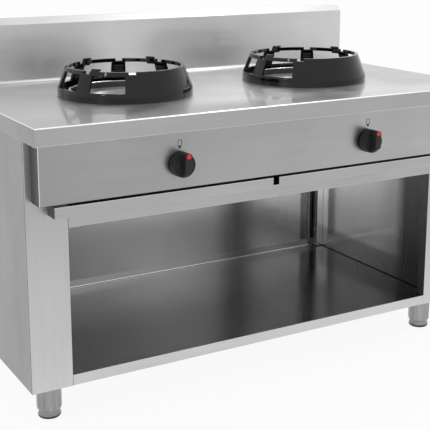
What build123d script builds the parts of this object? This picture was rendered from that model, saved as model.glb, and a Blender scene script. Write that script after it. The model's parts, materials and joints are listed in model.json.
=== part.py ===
from build123d import *
import math
import os

# Two-burner gas wok range on an open cabinet. Millimetres, +Z up, the front faces -Y.
# The origin is on the floor, at the middle of the bounding box's base.

os.makedirs("parts", exist_ok=True)

# ---- driving dimensions: the whole range -------------------------------------------------
WIDTH = 1500.0            # worktop, left to right
DEPTH = 800.0             # worktop edge to the back of the upstand
HEIGHT = 850.0            # floor to worktop
SHEET = 1.5               # cabinet sheet
TOP_SHEET = 2.0           # worktop sheet
BEND = 2.5                # outer bend radius of cabinet sheet
CLEARANCE = 0.5           # between sheets that only pass each other

FRONT = -DEPTH / 2
BACK = DEPTH / 2
HALF = WIDTH / 2

# ---- worktop and upstand -----------------------------------------------------------------
TOP_EDGE = 48.0           # height of the turned-down edge
TOP_HEM = 14.0            # inward hem under the front edge
SIDE_HEM = 7.0            # and under the side edges
TOP_BEND = 4.0
UPSTAND_DEPTH = 26.0      # its face, forward from the back
UPSTAND_HEIGHT = 185.0    # up to the sloped part
UPSTAND_SLOPE = 20.0      # rise and run of the sloped part
UPSTAND_RETURN = 30.0     # rear flange, down from the top
UPSTAND_COVE = 10.0
UPSTAND_INSET = 6.0       # each end, in from the worktop's side
WELL_RADIUS = 165.0       # openings for the burner bowls
VENT_LENGTH = 90.0        # slots in the upstand's rear cover
VENT_HEIGHT = 8.0

# ---- burners -----------------------------------------------------------------------------
BURNER_INSET = 430.0      # burner axis, in from the worktop's side
BURNER_X = HALF - BURNER_INSET
BURNERS = {"left": -BURNER_X, "right": BURNER_X}

# ---- control panel -----------------------------------------------------------------------
PANEL_SETBACK = 58.0      # its face, back from the worktop's edge
PANEL_TOP = 12.0          # below the worktop
PANEL_BOTTOM = 215.0      # below the worktop
PANEL_INSET = 27.0        # each end, in from the worktop's side
PANEL_LIP = 15.0
KNOB_DROP = 146.0         # knob axis, below the worktop
TAP_NOSE_RADIUS = 8.5
TAP_HOLE_RADIUS = 10.0

# ---- cabinet -----------------------------------------------------------------------------
CABINET_SETBACK = 114.0   # stiles and rails, back from the worktop's edge
CABINET_INSET = 8.0       # each side
CABINET_BOTTOM = 105.0    # above the floor
STILE_WIDTH = 118.0
STILE_RETURN = 31.0
REAR_RETURN = 20.0
INNER_WALL = 93.0         # its face, in from the worktop's side
INNER_SHEET = 1.2
SHELF_EDGE = 31.0         # height of the shelf's front edge
SHELF_UPSTAND = 26.0
BACK_PANEL_INSET = 32.0   # its front face, forward from the back
FRONT_RAIL_TOP = 257.0    # below the worktop
FRONT_RAIL_BOTTOM = 297.0
FRONT_RAIL_DEPTH = 20.0
REAR_POST_DEPTH = 33.0
REAR_POST_WIDTH = 31.0
REAR_POST_INSET = 119.0
INNER_DROP = 218.0        # top of the inner walls and rear posts, below the worktop
INNER_TURN = 12.0

# ---- drip tray ---------------------------------------------------------------------------
TRAY_SETBACK = 68.0
TRAY_TOP = 224.0          # below the worktop
TRAY_STRIP = 31.0
TRAY_FRONT_INSET = 71.0   # strip's end, in from the worktop's side
TRAY_PAN_GAP = 24.0       # pan to stile
TRAY_PAN_STOP = 150.0     # pan's rear, forward from the back
TRAY_WALL = 23.0
TRAY_RIM = 12.0
TRAY_PLAY = 0.3           # rim above the runner's ledge
NOTCH_WIDTH = 20.0
NOTCH_DEPTH = 22.0
RUNNER_LEDGE = 53.0
RUNNER_WALL = 12.0

# ---- legs and feet -----------------------------------------------------------------------
LEG_RADIUS = 35.0
LEG_WALL = 1.5
LEG_INSET = 80.0          # leg axis, in from the worktop's side
LEG_FRONT_SETBACK = 72.0  # leg axis, back from the cabinet's front
LEG_REAR_SETBACK = 46.0   # leg axis, forward from the back panel
LEG_BOTTOM = 22.0
LEG_NECK_RADIUS = 31.0    # bore of the turned-in lower end
LEG_FLANGE = 86.0
LEG_FLANGE_THICK = 4.0
BASE_LEVEL = 112.0        # underside of the base channels
BASE_SHEET = 2.0
FOOT_SLEEVE_RADIUS = 30.7
FOOT_CUP_RADIUS = 32.3
FOOT_CUP_LEVEL = 5.0      # where the cup is widest
FOOT_SOLE_RADIUS = 29.5
FOOT_CUP_TOP = 17.0
FOOT_FLOOR = 12.0
FOOT_SLEEVE_TOP = 84.0
BOLT_PITCH = 64.0
BOLT_RADIUS = 4.0
BOLT_HOLE_RADIUS = 4.5

# ---- wok ring ----------------------------------------------------------------------------
RING_RADIUS = 200.0
RING_HEIGHT = 86.0
RING_SKIRT = 27.0
RING_SKIRT_WALL = 9.0
RING_STEP = 2.0           # ledge between the skirt and the cone
RING_RIM_RADIUS = 174.5
RING_WALL = 7.0           # radial thickness of the cone
RING_RIM_WIDTH = 10.0
RING_RIM_DEPTH = 10.0
PILLAR_PITCH = 45.0
PILLAR_TURN = {"left": 27.0, "right": 6.7}  # azimuth of the first pillar
WINDOWED_BAYS = (0, 1, 2, 3, 4, 7)          # the other two bays stay closed
NOTCHED_PILLARS = range(6)
WINDOW_ANGLE = 31.0
WINDOW_BOTTOM = 28.0
WINDOW_TOP = 75.0
PAD_LEVEL = 48.5          # middle of the pads
RIM_NOTCH_WIDTH = 20.0
RIM_NOTCH_DEPTH = 8.0
LUG_ANGLES = (10.5, 82.0, 189.0)            # from the first pillar
LUG_SIZE = (12.0, 27.0, 18.0)
LUG_RISE = 8.0
PAD_SIZE = (8.0, 34.0, 40.0)
PAD_RIBS = 4

# ---- burner bowl, body and head ----------------------------------------------------------
BOWL_LIP_RADIUS = 182.0
BOWL_DEPTH = 75.0
BOWL_FLOOR_RADIUS = 96.0
BOWL_HOLE_RADIUS = 56.0
BOWL_WALL_RADIUS = 160.0
BOWL_COLLAR_RADIUS = 168.0      # raised collar inside the ring
BOWL_COLLAR_RISE = 18.0
BRACKET_DROP = 162.0      # underside of the bracket's cross piece, below the worktop
BRACKET_SHEET = 3.0
BRACKET_WIDTH = 60.0
BRACKET_SPREAD = 188.0
BRACKET_FOOT = 22.0
BODY_BASE_RADIUS = 60.0
BODY_RADIUS = 51.0
BODY_RISE = 54.0          # top of the body, above the mixing tube
HEAD_RADIUS = 62.0
HEAD_HEIGHT = 28.0
HEAD_SPIGOT_RADIUS = 40.0
HEAD_SPIGOT_DEPTH = 8.0
HEAD_FIT = 0.3
PORT_COUNT = 24
PORT_RADIUS = 2.2
TUBE_DROP = 120.0         # mixing tube, below the worktop
TUBE_RADIUS = 20.0
TUBE_BORE = 16.0
TUBE_SETBACK = 70.0       # bell mouth, back from the tap
BELL_RADIUS = 27.0
BELL_LENGTH = 16.0

# ---- gas train ---------------------------------------------------------------------------
TAP_BLOCK = (36.0, 40.0, 38.0)
TAP_SETBACK = 16.0        # block's middle, back from the cabinet's front
TAP_BONNET_RADIUS = 15.0
STEM_RADIUS = 4.0
STEM_FLAT = 2.8
STEM_FIT = 0.05
STEM_REACH = 29.0         # in front of the panel
STEM_TAIL = 42.0          # behind the panel
WASHER_RADIUS = 6.6
WASHER_THICK = 1.2
WASHER_SETBACK = 20.0     # behind the panel
WASHER_POCKET = (7.0, 7.0)      # radius and depth of the spring chamber
MANIFOLD_RADIUS = 13.45
MANIFOLD_BORE = 10.9
MANIFOLD_SETBACK = 24.0   # back from the cabinet's front
MANIFOLD_DROP = 200.0     # below the worktop
MANIFOLD_OVERHANG = 70.0  # past the left tap
MANIFOLD_TURN = 240.0     # from the right burner's axis to the pipe towards the rear
MANIFOLD_STOP = 18.0      # pipe's end, in front of the back panel
MANIFOLD_CAP = 3.0
CLIP_WIDTH = 16.0
CLIP_WALL = 2.5
CLIP_OFFSET = 120.0       # from a tap
MANIFOLD_ELBOW = 40.0
INLET_THREAD_RADIUS = 13.2
INLET_HEX = 36.0
INLET_HEX_LENGTH = 22.0
INLET_STOP = 3.0          # thread's end, in front of the worktop's rear edge
INLET_CHAMFER = 1.2
PIPE_FIT = 0.02           # round a pipe that is clamped
PIPE_PLAY = 0.05          # round a pipe's end in its socket
PIPE_RADIUS = 5.0
PIPE_BORE = 4.0
PIPE_DROP = 76.5          # feed pipe's crest, below the worktop
PILOT_PIPE_RADIUS = 2.0
PILOT_BORE = 1.3
LEAD_RADIUS = 1.3
PILOT_OFFSET = (-78.0, 0.0)
PROBE_OFFSET = (-67.5, -39.0)
PROBE_RADIUS = 3.0
ARM_DROP = 88.0           # underside of the arm that holds pilot and probe
ARM_SHEET = 2.0
ARM_GAP = 0.2             # tab to the round body
PILOT_RISE = 48.0         # above the arm
PROBE_RISE = 56.0
LEAD_SETBACK = 17.0       # lead's bend behind the injector
MAGNET_LENGTH = 24.0
MAGNET_RADIUS = 9.0
MAGNET_DROP = 7.0         # below the tap's axis
INJECTOR_SETBACK = 45.0   # back from the tap
INJECTOR_BLOCK = (20.0, 18.0, 22.0)
NOZZLE_LENGTH = 10.0
NOZZLE_RADIUS = 6.0
SIDE_HOLE_RADIUS = 7.0

# ---- knob --------------------------------------------------------------------------------
KNOB_RADIUS = 34.5
KNOB_FACE_RADIUS = 33.5
KNOB_GAP = 4.0            # knob to panel, so that it can be pressed
KNOB_DEPTH = 25.0
KNOB_WALL = 4.5
GRIP_DEPTH = 24.5         # proud of the face
GRIP_WIDTH = 20.0
GRIP_TOP = 36.0           # above the knob's axis
GRIP_FLAT = 17.0          # its front's lower end, below the axis
GRIP_BOTTOM = 31.0
GRIP_CORNER = 6.0
GRIP_EDGE = 2.0
GRIP_SETBACK = 1.5        # its rear end, in front of the knob's back
SPOT_RADIUS = 6.0
SPOT_HEIGHT = 29.0        # above the knob's axis
SPOT_THICK = 0.8
KNOB_FIT = 0.02           # socket on the stem's end

# ---- screws ------------------------------------------------------------------------------
SCREW_RADIUS = 4.5
SCREW_HEIGHT = 2.5
SCREW_INSET = 20.0        # from a sheet's edge
WALL_SCREW_RISE = 64.0    # above the shelf
WALL_SCREW_DROP = 119.0   # below the inner wall's top
NUT_RADIUS = 7.5

# ---- values that follow ------------------------------------------------------------------
PANEL_Y = FRONT + PANEL_SETBACK
PANEL_HALF = HALF - PANEL_INSET
CABINET_Y = FRONT + CABINET_SETBACK
CABINET_HALF = HALF - CABINET_INSET
STILE_INNER = CABINET_HALF - STILE_WIDTH
UPSTAND_Y = BACK - UPSTAND_DEPTH
BACK_PANEL_Y = BACK - BACK_PANEL_INSET
REAR_POST_FACE = BACK_PANEL_Y - REAR_POST_DEPTH
INNER_HALF = HALF - INNER_WALL
INNER_TOP = HEIGHT - INNER_DROP
SHELF_LEVEL = CABINET_BOTTOM + SHELF_EDGE
SHELF_HALF = HALF - REAR_POST_INSET + REAR_POST_WIDTH + SHEET
BASE_LIP = SHELF_LEVEL - SHEET - BASE_LEVEL
TRAY_Y = FRONT + TRAY_SETBACK
TRAY_TOP_LEVEL = HEIGHT - TRAY_TOP
TRAY_LOW_LEVEL = TRAY_TOP_LEVEL - TRAY_STRIP
TRAY_FLOOR = TRAY_LOW_LEVEL + SHEET
TRAY_FRONT_HALF = HALF - TRAY_FRONT_INSET
TRAY_PAN_HALF = STILE_INNER - TRAY_PAN_GAP
TRAY_PAN_BACK = BACK - TRAY_PAN_STOP
LEG_X = HALF - LEG_INSET
LEG_FRONT_Y = CABINET_Y + LEG_FRONT_SETBACK
LEG_REAR_Y = BACK_PANEL_Y - LEG_REAR_SETBACK
LEG_PLACES = {
    "front_left": (-LEG_X, LEG_FRONT_Y),
    "front_right": (LEG_X, LEG_FRONT_Y),
    "rear_left": (-LEG_X, LEG_REAR_Y),
    "rear_right": (LEG_X, LEG_REAR_Y),
}
BOWL_LEVEL = HEIGHT - BOWL_DEPTH
BRACKET_LEVEL = HEIGHT - BRACKET_DROP
TUBE_LEVEL = HEIGHT - TUBE_DROP
BODY_TOP = TUBE_LEVEL + BODY_RISE
ARM_LEVEL = HEIGHT - ARM_DROP
TAP_LEVEL = HEIGHT - KNOB_DROP
TAP_BLOCK_Y = CABINET_Y + TAP_SETBACK
MAGNET_END_Y = TAP_BLOCK_Y + TAP_BLOCK[1] / 2 + MAGNET_LENGTH
INJECTOR_Y = TAP_BLOCK_Y + INJECTOR_SETBACK
TUBE_FRONT = TAP_BLOCK_Y + TUBE_SETBACK
STEM_FRONT = PANEL_Y - STEM_REACH
STEM_BACK = PANEL_Y + STEM_TAIL
WASHER_Y = PANEL_Y + WASHER_SETBACK
MANIFOLD_Y = CABINET_Y + MANIFOLD_SETBACK
MANIFOLD_LEVEL = HEIGHT - MANIFOLD_DROP
MANIFOLD_LEFT = -BURNER_X - MANIFOLD_OVERHANG
MANIFOLD_RIGHT = BURNER_X + MANIFOLD_TURN
MANIFOLD_END_Y = BACK_PANEL_Y - MANIFOLD_STOP
INLET_END_Y = BACK - INLET_STOP


def save(shape, name):
    """Write one node and print its volume and box."""
    export_step(shape, f"parts/{name}.step")
    box = shape.bounding_box()
    size = [round(v, 1) for v in (*box.min, *box.max)]
    print(f"{name:22s} solids {len(shape.solids()):2d}  volume {shape.volume / 1000:9.1f} cm3  box {size}")


def box_between(low, high):
    """Box from its low corner to its high corner."""
    size = [h - l for l, h in zip(low, high)]
    middle = [(l + h) / 2 for l, h in zip(low, high)]
    return Pos(*middle) * Box(*size)


def rod(start, end, radius, bore=0.0):
    """Straight round bar, or a tube when it has a bore."""
    a, b = Vector(*start), Vector(*end)
    plane = Plane(a, z_dir=b - a)
    length = (b - a).length
    bar = extrude(plane * Circle(radius), length)
    return bar - extrude(plane * Circle(bore), length) if bore else bar


def pipe(points, bend, radius, bore):
    """Tube along straight runs joined by bends."""
    path = FilletPolyline(*points, radius=bend)
    section = Plane(path @ 0, z_dir=path % 0) * (Circle(radius) - Circle(bore))
    return sweep(section, path=path)


def bent_sheet(points, radii, thickness, side=Side.RIGHT):
    """Closed section of a bent sheet whose outer face follows the points."""
    line = FilletPolyline(*points, radius=radii) if radii else Polyline(*points)
    wire = Wire(line.edges())
    return make_face(wire.offset_2d(thickness, side=side, closed=True).edges())


def across(section, half_width):
    """Section drawn in Y and Z, run from left to right about the middle."""
    return Pos(-half_width, 0, 0) * extrude(Plane.YZ * section, 2 * half_width)


def upright(section, bottom, top):
    """Section drawn in X and Y, run upwards."""
    return extrude(Pos(0, 0, bottom) * section, top - bottom)


def mirrored(shape, side):
    """The left-hand shape, or its mirror image for the right."""
    return shape if side == "left" else mirror(shape, about=Plane.YZ)


def row_of(shape, places):
    """Copies of one solid at several places, as separate solids."""
    return Compound([Pos(*place) * shape for place in places])


# ---- worktop -----------------------------------------------------------------------------

def worktop_section():
    edge_low = HEIGHT - TOP_EDGE
    top = HEIGHT + UPSTAND_HEIGHT
    ridge = top + UPSTAND_SLOPE
    points = [
        (FRONT + TOP_HEM, edge_low),
        (FRONT, edge_low),
        (FRONT, HEIGHT),
        (UPSTAND_Y, HEIGHT),
        (UPSTAND_Y, top),
        (UPSTAND_Y + UPSTAND_SLOPE, ridge),
        (BACK, ridge),
        (BACK, ridge - UPSTAND_RETURN),
    ]
    radii = [BEND, TOP_BEND, UPSTAND_COVE, BEND, BEND, BEND]
    return bent_sheet(points, radii, TOP_SHEET)


def side_edge():
    """Left turned-down edge with its hem, from the front edge to the back."""
    edge_low = HEIGHT - TOP_EDGE
    points = [
        (-HALF + SIDE_HEM, edge_low),
        (-HALF, edge_low),
        (-HALF, HEIGHT),
        (-HALF + TOP_HEM, HEIGHT),
    ]
    section = bent_sheet(points, [BEND, TOP_BEND], TOP_SHEET)
    run = extrude(Plane.XZ * section, -(DEPTH - 2 * TOP_SHEET - SHEET))
    return Pos(0, FRONT + TOP_SHEET, 0) * run


def upstand_end():
    """Plate that closes the left end of the hollow upstand."""
    ridge = HEIGHT + UPSTAND_HEIGHT + UPSTAND_SLOPE
    inner = UPSTAND_Y + TOP_SHEET / 2
    outline = Polyline(
        (inner, HEIGHT - TOP_SHEET),
        (inner, HEIGHT + UPSTAND_HEIGHT),
        (inner + UPSTAND_SLOPE, ridge - TOP_SHEET / 2),
        (BACK - TOP_SHEET - SHEET, ridge - TOP_SHEET / 2),
        (BACK - TOP_SHEET - SHEET, HEIGHT - TOP_SHEET),
        close=True,
    )
    plate = extrude(Plane.YZ * make_face(outline), TOP_SHEET)
    return Pos(-HALF + UPSTAND_INSET, 0, 0) * plate


def make_worktop():
    sheet = across(worktop_section(), HALF)
    ridge = HEIGHT + UPSTAND_HEIGHT + UPSTAND_SLOPE + 1
    clear_y = UPSTAND_Y - UPSTAND_COVE
    for sign in (-1, 1):
        edge_x = sorted((sign * (HALF - UPSTAND_INSET), sign * (HALF + 1)))
        over_top = box_between((edge_x[0], clear_y, HEIGHT + 0.001), (edge_x[1], BACK + 1, ridge))
        sheet -= over_top
        side_x = sorted((sign * (HALF - TOP_HEM), sign * (HALF + 1)))
        sheet -= box_between((side_x[0], FRONT + TOP_SHEET, HEIGHT - TOP_SHEET - 0.001),
                             (side_x[1], BACK + 1, HEIGHT + 0.001))
    left = side_edge()
    end = upstand_end()
    for piece in (left, mirror(left, about=Plane.YZ), end, mirror(end, about=Plane.YZ)):
        sheet += piece
    for x in BURNERS.values():
        sheet -= Pos(x, 0, HEIGHT) * Cylinder(WELL_RADIUS, 4 * TOP_SHEET)
    return sheet


def make_splash_cover():
    """Rear sheet of the hollow upstand, bent in under it to the back panel."""
    face = BACK - TOP_SHEET
    top, low = HEIGHT + UPSTAND_HEIGHT + UPSTAND_SLOPE - 2 * TOP_SHEET, HEIGHT - TOP_EDGE
    points = [(face, top), (face, low), (BACK_PANEL_Y + SHEET, low)]
    cover = across(bent_sheet(points, [BEND], SHEET), CABINET_HALF - REAR_RETURN - 1)
    half = HALF - UPSTAND_INSET - TOP_SHEET
    cover += box_between((-half, face - SHEET, low + 2 * BEND), (half, face, top))
    slot = Rot(90, 0, 0) * SlotOverall(VENT_LENGTH, VENT_HEIGHT)
    for column in range(-4, 5):
        for row in range(3):
            level = HEIGHT + UPSTAND_HEIGHT / 3 + row * 3 * VENT_HEIGHT
            cover -= extrude(Pos(column * WIDTH / 11.5, face + SHEET, level) * slot, 4 * SHEET, both=True)
    return cover


# ---- control panel -----------------------------------------------------------------------

def make_control_panel():
    top, low = HEIGHT - PANEL_TOP, HEIGHT - PANEL_BOTTOM
    rear = CABINET_Y
    points = [
        (rear, top),
        (PANEL_Y, top),
        (PANEL_Y, low),
        (rear, low),
        (rear, low + PANEL_LIP),
    ]
    panel = across(bent_sheet(points, [BEND, BEND, 6.0], SHEET, Side.LEFT), PANEL_HALF)
    outline = Polyline((rear - SHEET / 2, top - SHEET / 2), (PANEL_Y + SHEET / 2, top - SHEET / 2),
                       (PANEL_Y + SHEET / 2, low + SHEET / 2), (rear - 7, low + SHEET / 2),
                       (rear - SHEET / 2, low + 7), close=True)
    cap = extrude(Plane.YZ * make_face(outline), SHEET)
    left_cap = Pos(-PANEL_HALF, 0, 0) * cap
    panel = panel + left_cap + mirror(left_cap, about=Plane.YZ)
    for x in BURNERS.values():
        panel -= rod((x, PANEL_Y - 5, TAP_LEVEL), (x, PANEL_Y + 5, TAP_LEVEL), TAP_HOLE_RADIUS)
    return panel


# ---- cabinet -----------------------------------------------------------------------------

def make_side_panel():
    """Left outer skin: stile return, stile, side and rear return in one sheet."""
    rear = BACK - TOP_SHEET - SHEET
    points = [
        (-STILE_INNER, CABINET_Y + STILE_RETURN),
        (-STILE_INNER, CABINET_Y),
        (-CABINET_HALF, CABINET_Y),
        (-CABINET_HALF, rear),
        (-CABINET_HALF + REAR_RETURN, rear),
    ]
    section = bent_sheet(points, [BEND, BEND, BEND], SHEET)
    return upright(section, CABINET_BOTTOM, HEIGHT - TOP_SHEET)


def make_inner_wall():
    """Left inner skin, turned in behind the stile and out at the rear post."""
    front = CABINET_Y + STILE_RETURN + INNER_SHEET
    rear = REAR_POST_FACE
    points = [
        (-STILE_INNER, front),
        (-INNER_HALF, front),
        (-INNER_HALF, rear),
        (-INNER_HALF - INNER_TURN, rear),
    ]
    section = bent_sheet(points, [2.0, 2.0], INNER_SHEET, Side.LEFT)
    return upright(section, SHELF_LEVEL, INNER_TOP)


def make_rear_post():
    """Left rear corner post: an angle, face to the front and to the middle."""
    inner = -(HALF - REAR_POST_INSET)
    points = [
        (inner - REAR_POST_WIDTH, REAR_POST_FACE),
        (inner, REAR_POST_FACE),
        (inner, BACK_PANEL_Y - SHEET - BEND),
    ]
    section = bent_sheet(points, [BEND], SHEET, Side.LEFT)
    return upright(section, SHELF_LEVEL, INNER_TOP)


def make_back_panel():
    """Rear sheet, turned back along both sides."""
    half = CABINET_HALF - SHEET
    rear = BACK - TOP_SHEET - 2 * SHEET - BEND
    points = [(-half, rear), (-half, BACK_PANEL_Y), (half, BACK_PANEL_Y), (half, rear)]
    section = bent_sheet(points, [BEND, BEND], SHEET, Side.LEFT)
    panel = upright(section, CABINET_BOTTOM, HEIGHT - TOP_SHEET)
    panel -= rod((MANIFOLD_RIGHT, BACK_PANEL_Y - 5, MANIFOLD_LEVEL),
                 (MANIFOLD_RIGHT, BACK_PANEL_Y + 5, MANIFOLD_LEVEL), INLET_HEX / 2 + 6)
    return panel


def make_shelf():
    """Floor sheet, turned down at the front and up at the back."""
    rear = BACK_PANEL_Y - SHEET
    points = [
        (CABINET_Y + 16, CABINET_BOTTOM),
        (CABINET_Y, CABINET_BOTTOM),
        (CABINET_Y, SHELF_LEVEL),
        (rear, SHELF_LEVEL),
        (rear, SHELF_LEVEL + SHELF_UPSTAND),
    ]
    wide = across(bent_sheet(points, [BEND, BEND, BEND], SHEET), SHELF_HALF)
    behind_stile = CABINET_Y + STILE_RETURN
    for sign in (-1, 1):
        xs = sorted((sign * STILE_INNER, sign * (SHELF_HALF + 5)))
        wide -= box_between((xs[0], FRONT, 0), (xs[1], behind_stile, HEIGHT))
    return wide


def make_front_rail():
    top, low = HEIGHT - FRONT_RAIL_TOP, HEIGHT - FRONT_RAIL_BOTTOM
    points = [
        (CABINET_Y + FRONT_RAIL_DEPTH, top),
        (CABINET_Y, top),
        (CABINET_Y, low),
        (CABINET_Y + FRONT_RAIL_DEPTH, low),
    ]
    return across(bent_sheet(points, [BEND, BEND], SHEET, Side.LEFT), STILE_INNER)


def make_base_channel():
    """Left floor of the double-walled side, with welded nuts for two legs."""
    weld_nut = extrude(RegularPolygon(NUT_RADIUS, 6) - Circle(BOLT_RADIUS + PIPE_FIT), 5)
    outer, inner = CABINET_HALF - SHEET, STILE_INNER + SHEET
    front, rear = CABINET_Y + SHEET + BEND, BACK_PANEL_Y
    plate = box_between((-outer, front, BASE_LEVEL), (-inner, rear, BASE_LEVEL + BASE_SHEET))
    for x in (-outer, -inner - BASE_SHEET):
        plate += box_between((x, front, BASE_LEVEL), (x + BASE_SHEET, rear, BASE_LEVEL + BASE_LIP))
    for y in (LEG_FRONT_Y, LEG_REAR_Y):
        for dx, dy in bolt_offsets():
            plate -= Pos(-LEG_X + dx, y + dy, BASE_LEVEL) * Cylinder(BOLT_HOLE_RADIUS, 10)
            plate += Pos(-LEG_X + dx, y + dy, BASE_LEVEL + BASE_SHEET) * weld_nut
    return plate


def bolt_offsets():
    half = BOLT_PITCH / 2
    return [(dx, dy) for dx in (-half, half) for dy in (-half, half)]


# ---- drip tray ---------------------------------------------------------------------------

def make_drip_tray():
    """Hollow front strip with a finger notch, and the pan behind it."""
    rear = CABINET_Y - 2 * CLEARANCE
    floor = TRAY_FLOOR
    points = [(rear, TRAY_TOP_LEVEL), (TRAY_Y, TRAY_TOP_LEVEL), (TRAY_Y, TRAY_LOW_LEVEL), (rear, TRAY_LOW_LEVEL)]
    tray = across(bent_sheet(points, [BEND, BEND], SHEET, Side.LEFT), TRAY_FRONT_HALF)
    pan_low = (-TRAY_PAN_HALF, TRAY_Y + SHEET / 2, floor)
    pan_high = (TRAY_PAN_HALF, TRAY_PAN_BACK, floor + TRAY_WALL)
    hollow_low = (-TRAY_PAN_HALF + SHEET, rear - SHEET, floor + SHEET)
    hollow_high = (TRAY_PAN_HALF - SHEET, TRAY_PAN_BACK - SHEET, floor + 2 * TRAY_WALL)
    pan = box_between(pan_low, pan_high) - box_between(hollow_low, hollow_high)
    pan -= box_between((-TRAY_PAN_HALF - 1, TRAY_Y + SHEET, floor + SHEET),
                       (TRAY_PAN_HALF + 1, rear - 2 * SHEET, floor + 2 * TRAY_WALL))
    rim_level = floor + TRAY_WALL
    for sign in (-1, 1):
        xs = sorted((sign * (TRAY_PAN_HALF - SHEET), sign * (TRAY_PAN_HALF + TRAY_RIM)))
        pan += box_between((xs[0], CABINET_Y + 4, rim_level - SHEET), (xs[1], TRAY_PAN_BACK, rim_level))
        cap_x = sorted((sign * (TRAY_FRONT_HALF - SHEET), sign * TRAY_FRONT_HALF))
        tray += box_between((cap_x[0], TRAY_Y + SHEET / 2, TRAY_LOW_LEVEL + SHEET / 2),
                            (cap_x[1], rear, TRAY_TOP_LEVEL - SHEET / 2))
    notch = box_between((-NOTCH_WIDTH / 2, TRAY_Y - 1, TRAY_TOP_LEVEL - NOTCH_DEPTH),
                        (NOTCH_WIDTH / 2, rear - 3 * SHEET, TRAY_TOP_LEVEL + 1))
    return tray + pan - notch


def make_tray_runner():
    """Left runner: an angle on the inner wall, its ledge under the tray's rim."""
    ledge_top = TRAY_FLOOR + TRAY_WALL - SHEET - TRAY_PLAY
    wall_x = -INNER_HALF
    front, rear = CABINET_Y + STILE_RETURN + 5, REAR_POST_FACE - 4
    ledge = box_between((wall_x, front, ledge_top - SHEET), (wall_x + RUNNER_LEDGE, rear, ledge_top))
    wall = box_between((wall_x, front, ledge_top - SHEET), (wall_x + SHEET, rear, ledge_top + RUNNER_WALL))
    return ledge + wall


# ---- legs and feet -----------------------------------------------------------------------

def make_leg():
    """Tube turned in at its lower end, with a square flange on top; axis at the origin."""
    inner = LEG_RADIUS - LEG_WALL
    flange_low = BASE_LEVEL - LEG_FLANGE_THICK
    outer_line = Polyline((LEG_NECK_RADIUS, LEG_BOTTOM), (LEG_NECK_RADIUS + 0.8, LEG_BOTTOM))
    curve = Spline((LEG_NECK_RADIUS + 0.8, LEG_BOTTOM), (LEG_RADIUS, LEG_BOTTOM + 8),
                   tangents=[(0.75, 1), (0, 1)])
    up = Polyline((LEG_RADIUS, LEG_BOTTOM + 8), (LEG_RADIUS, flange_low), (inner, flange_low),
                  (inner, LEG_BOTTOM + 8.6), (LEG_NECK_RADIUS, LEG_BOTTOM + 3), (LEG_NECK_RADIUS, LEG_BOTTOM))
    section = make_face(Wire([*outer_line.edges(), *curve.edges(), *up.edges()]))
    tube = revolve(Plane.XZ * section, Axis.Z)
    flange = Pos(0, 0, flange_low + LEG_FLANGE_THICK / 2) * Box(LEG_FLANGE, LEG_FLANGE, LEG_FLANGE_THICK)
    flange = fillet(flange.edges().filter_by(Axis.Z), 8)
    for dx, dy in bolt_offsets():
        flange -= Pos(dx, dy, flange_low) * Cylinder(BOLT_HOLE_RADIUS, 20)
    return tube + flange


def make_foot():
    """Cup foot with the sleeve that screws into the leg; axis at the origin."""
    bore = FOOT_SLEEVE_RADIUS - 3
    lower = Polyline((0, 0), (FOOT_SOLE_RADIUS, 0))
    side = Spline((FOOT_SOLE_RADIUS, 0), (FOOT_CUP_RADIUS, FOOT_CUP_LEVEL), (FOOT_SLEEVE_RADIUS - 0.5, FOOT_CUP_TOP),
                  tangents=[(1, 0.8), (-0.1, 1)])
    rest = Polyline((FOOT_SLEEVE_RADIUS - 0.5, FOOT_CUP_TOP), (FOOT_SLEEVE_RADIUS, FOOT_CUP_TOP + 2),
                    (FOOT_SLEEVE_RADIUS, FOOT_SLEEVE_TOP), (bore, FOOT_SLEEVE_TOP), (bore, FOOT_FLOOR), (0, FOOT_FLOOR),
                    (0, 0))
    section = make_face(Wire([*lower.edges(), *side.edges(), *rest.edges()]))
    return revolve(Plane.XZ * section, Axis.Z)


def make_leg_bolt():
    """Hexagon bolt, head below the leg's flange; axis at the origin."""
    head_height = 4.5
    head = extrude(RegularPolygon(NUT_RADIUS, 6), head_height)
    shank = Pos(0, 0, head_height) * extrude(Circle(BOLT_RADIUS), LEG_FLANGE_THICK + BASE_SHEET + 6)
    return Pos(0, 0, BASE_LEVEL - LEG_FLANGE_THICK - head_height) * (head + shank)


# ---- wok ring ----------------------------------------------------------------------------

def cone_radius(level):
    """Outer radius of the ring's sloping wall at a height above the worktop."""
    foot = RING_RADIUS - RING_STEP
    share = (level - RING_SKIRT) / (RING_HEIGHT - RING_SKIRT)
    return foot + (RING_RIM_RADIUS - foot) * share


def make_wok_ring():
    """Skirt, sloping wall with six windows, notched rim, lugs and pillar pads."""
    skirt_inner, rim_inner = RING_RADIUS - RING_SKIRT_WALL, RING_RIM_RADIUS - RING_RIM_WIDTH
    rim_low = RING_HEIGHT - RING_RIM_DEPTH
    outline = Polyline(
        (skirt_inner, 0), (RING_RADIUS, 0), (RING_RADIUS, RING_SKIRT - RING_STEP),
        (cone_radius(RING_SKIRT), RING_SKIRT), (RING_RIM_RADIUS, RING_HEIGHT),
        (rim_inner, RING_HEIGHT), (rim_inner, rim_low),
        (cone_radius(rim_low) - RING_WALL, rim_low), (skirt_inner, RING_SKIRT - RING_STEP),
        close=True)
    ring = revolve(Plane.XZ * make_face(outline), Axis.Z)
    ring = fillet(ring.edges().filter_by(GeomType.CIRCLE).group_by(Axis.Z)[-1], 2.5)
    ring = ring - ring_windows() - rim_notches()
    return ring + lugs() + pads()


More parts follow.
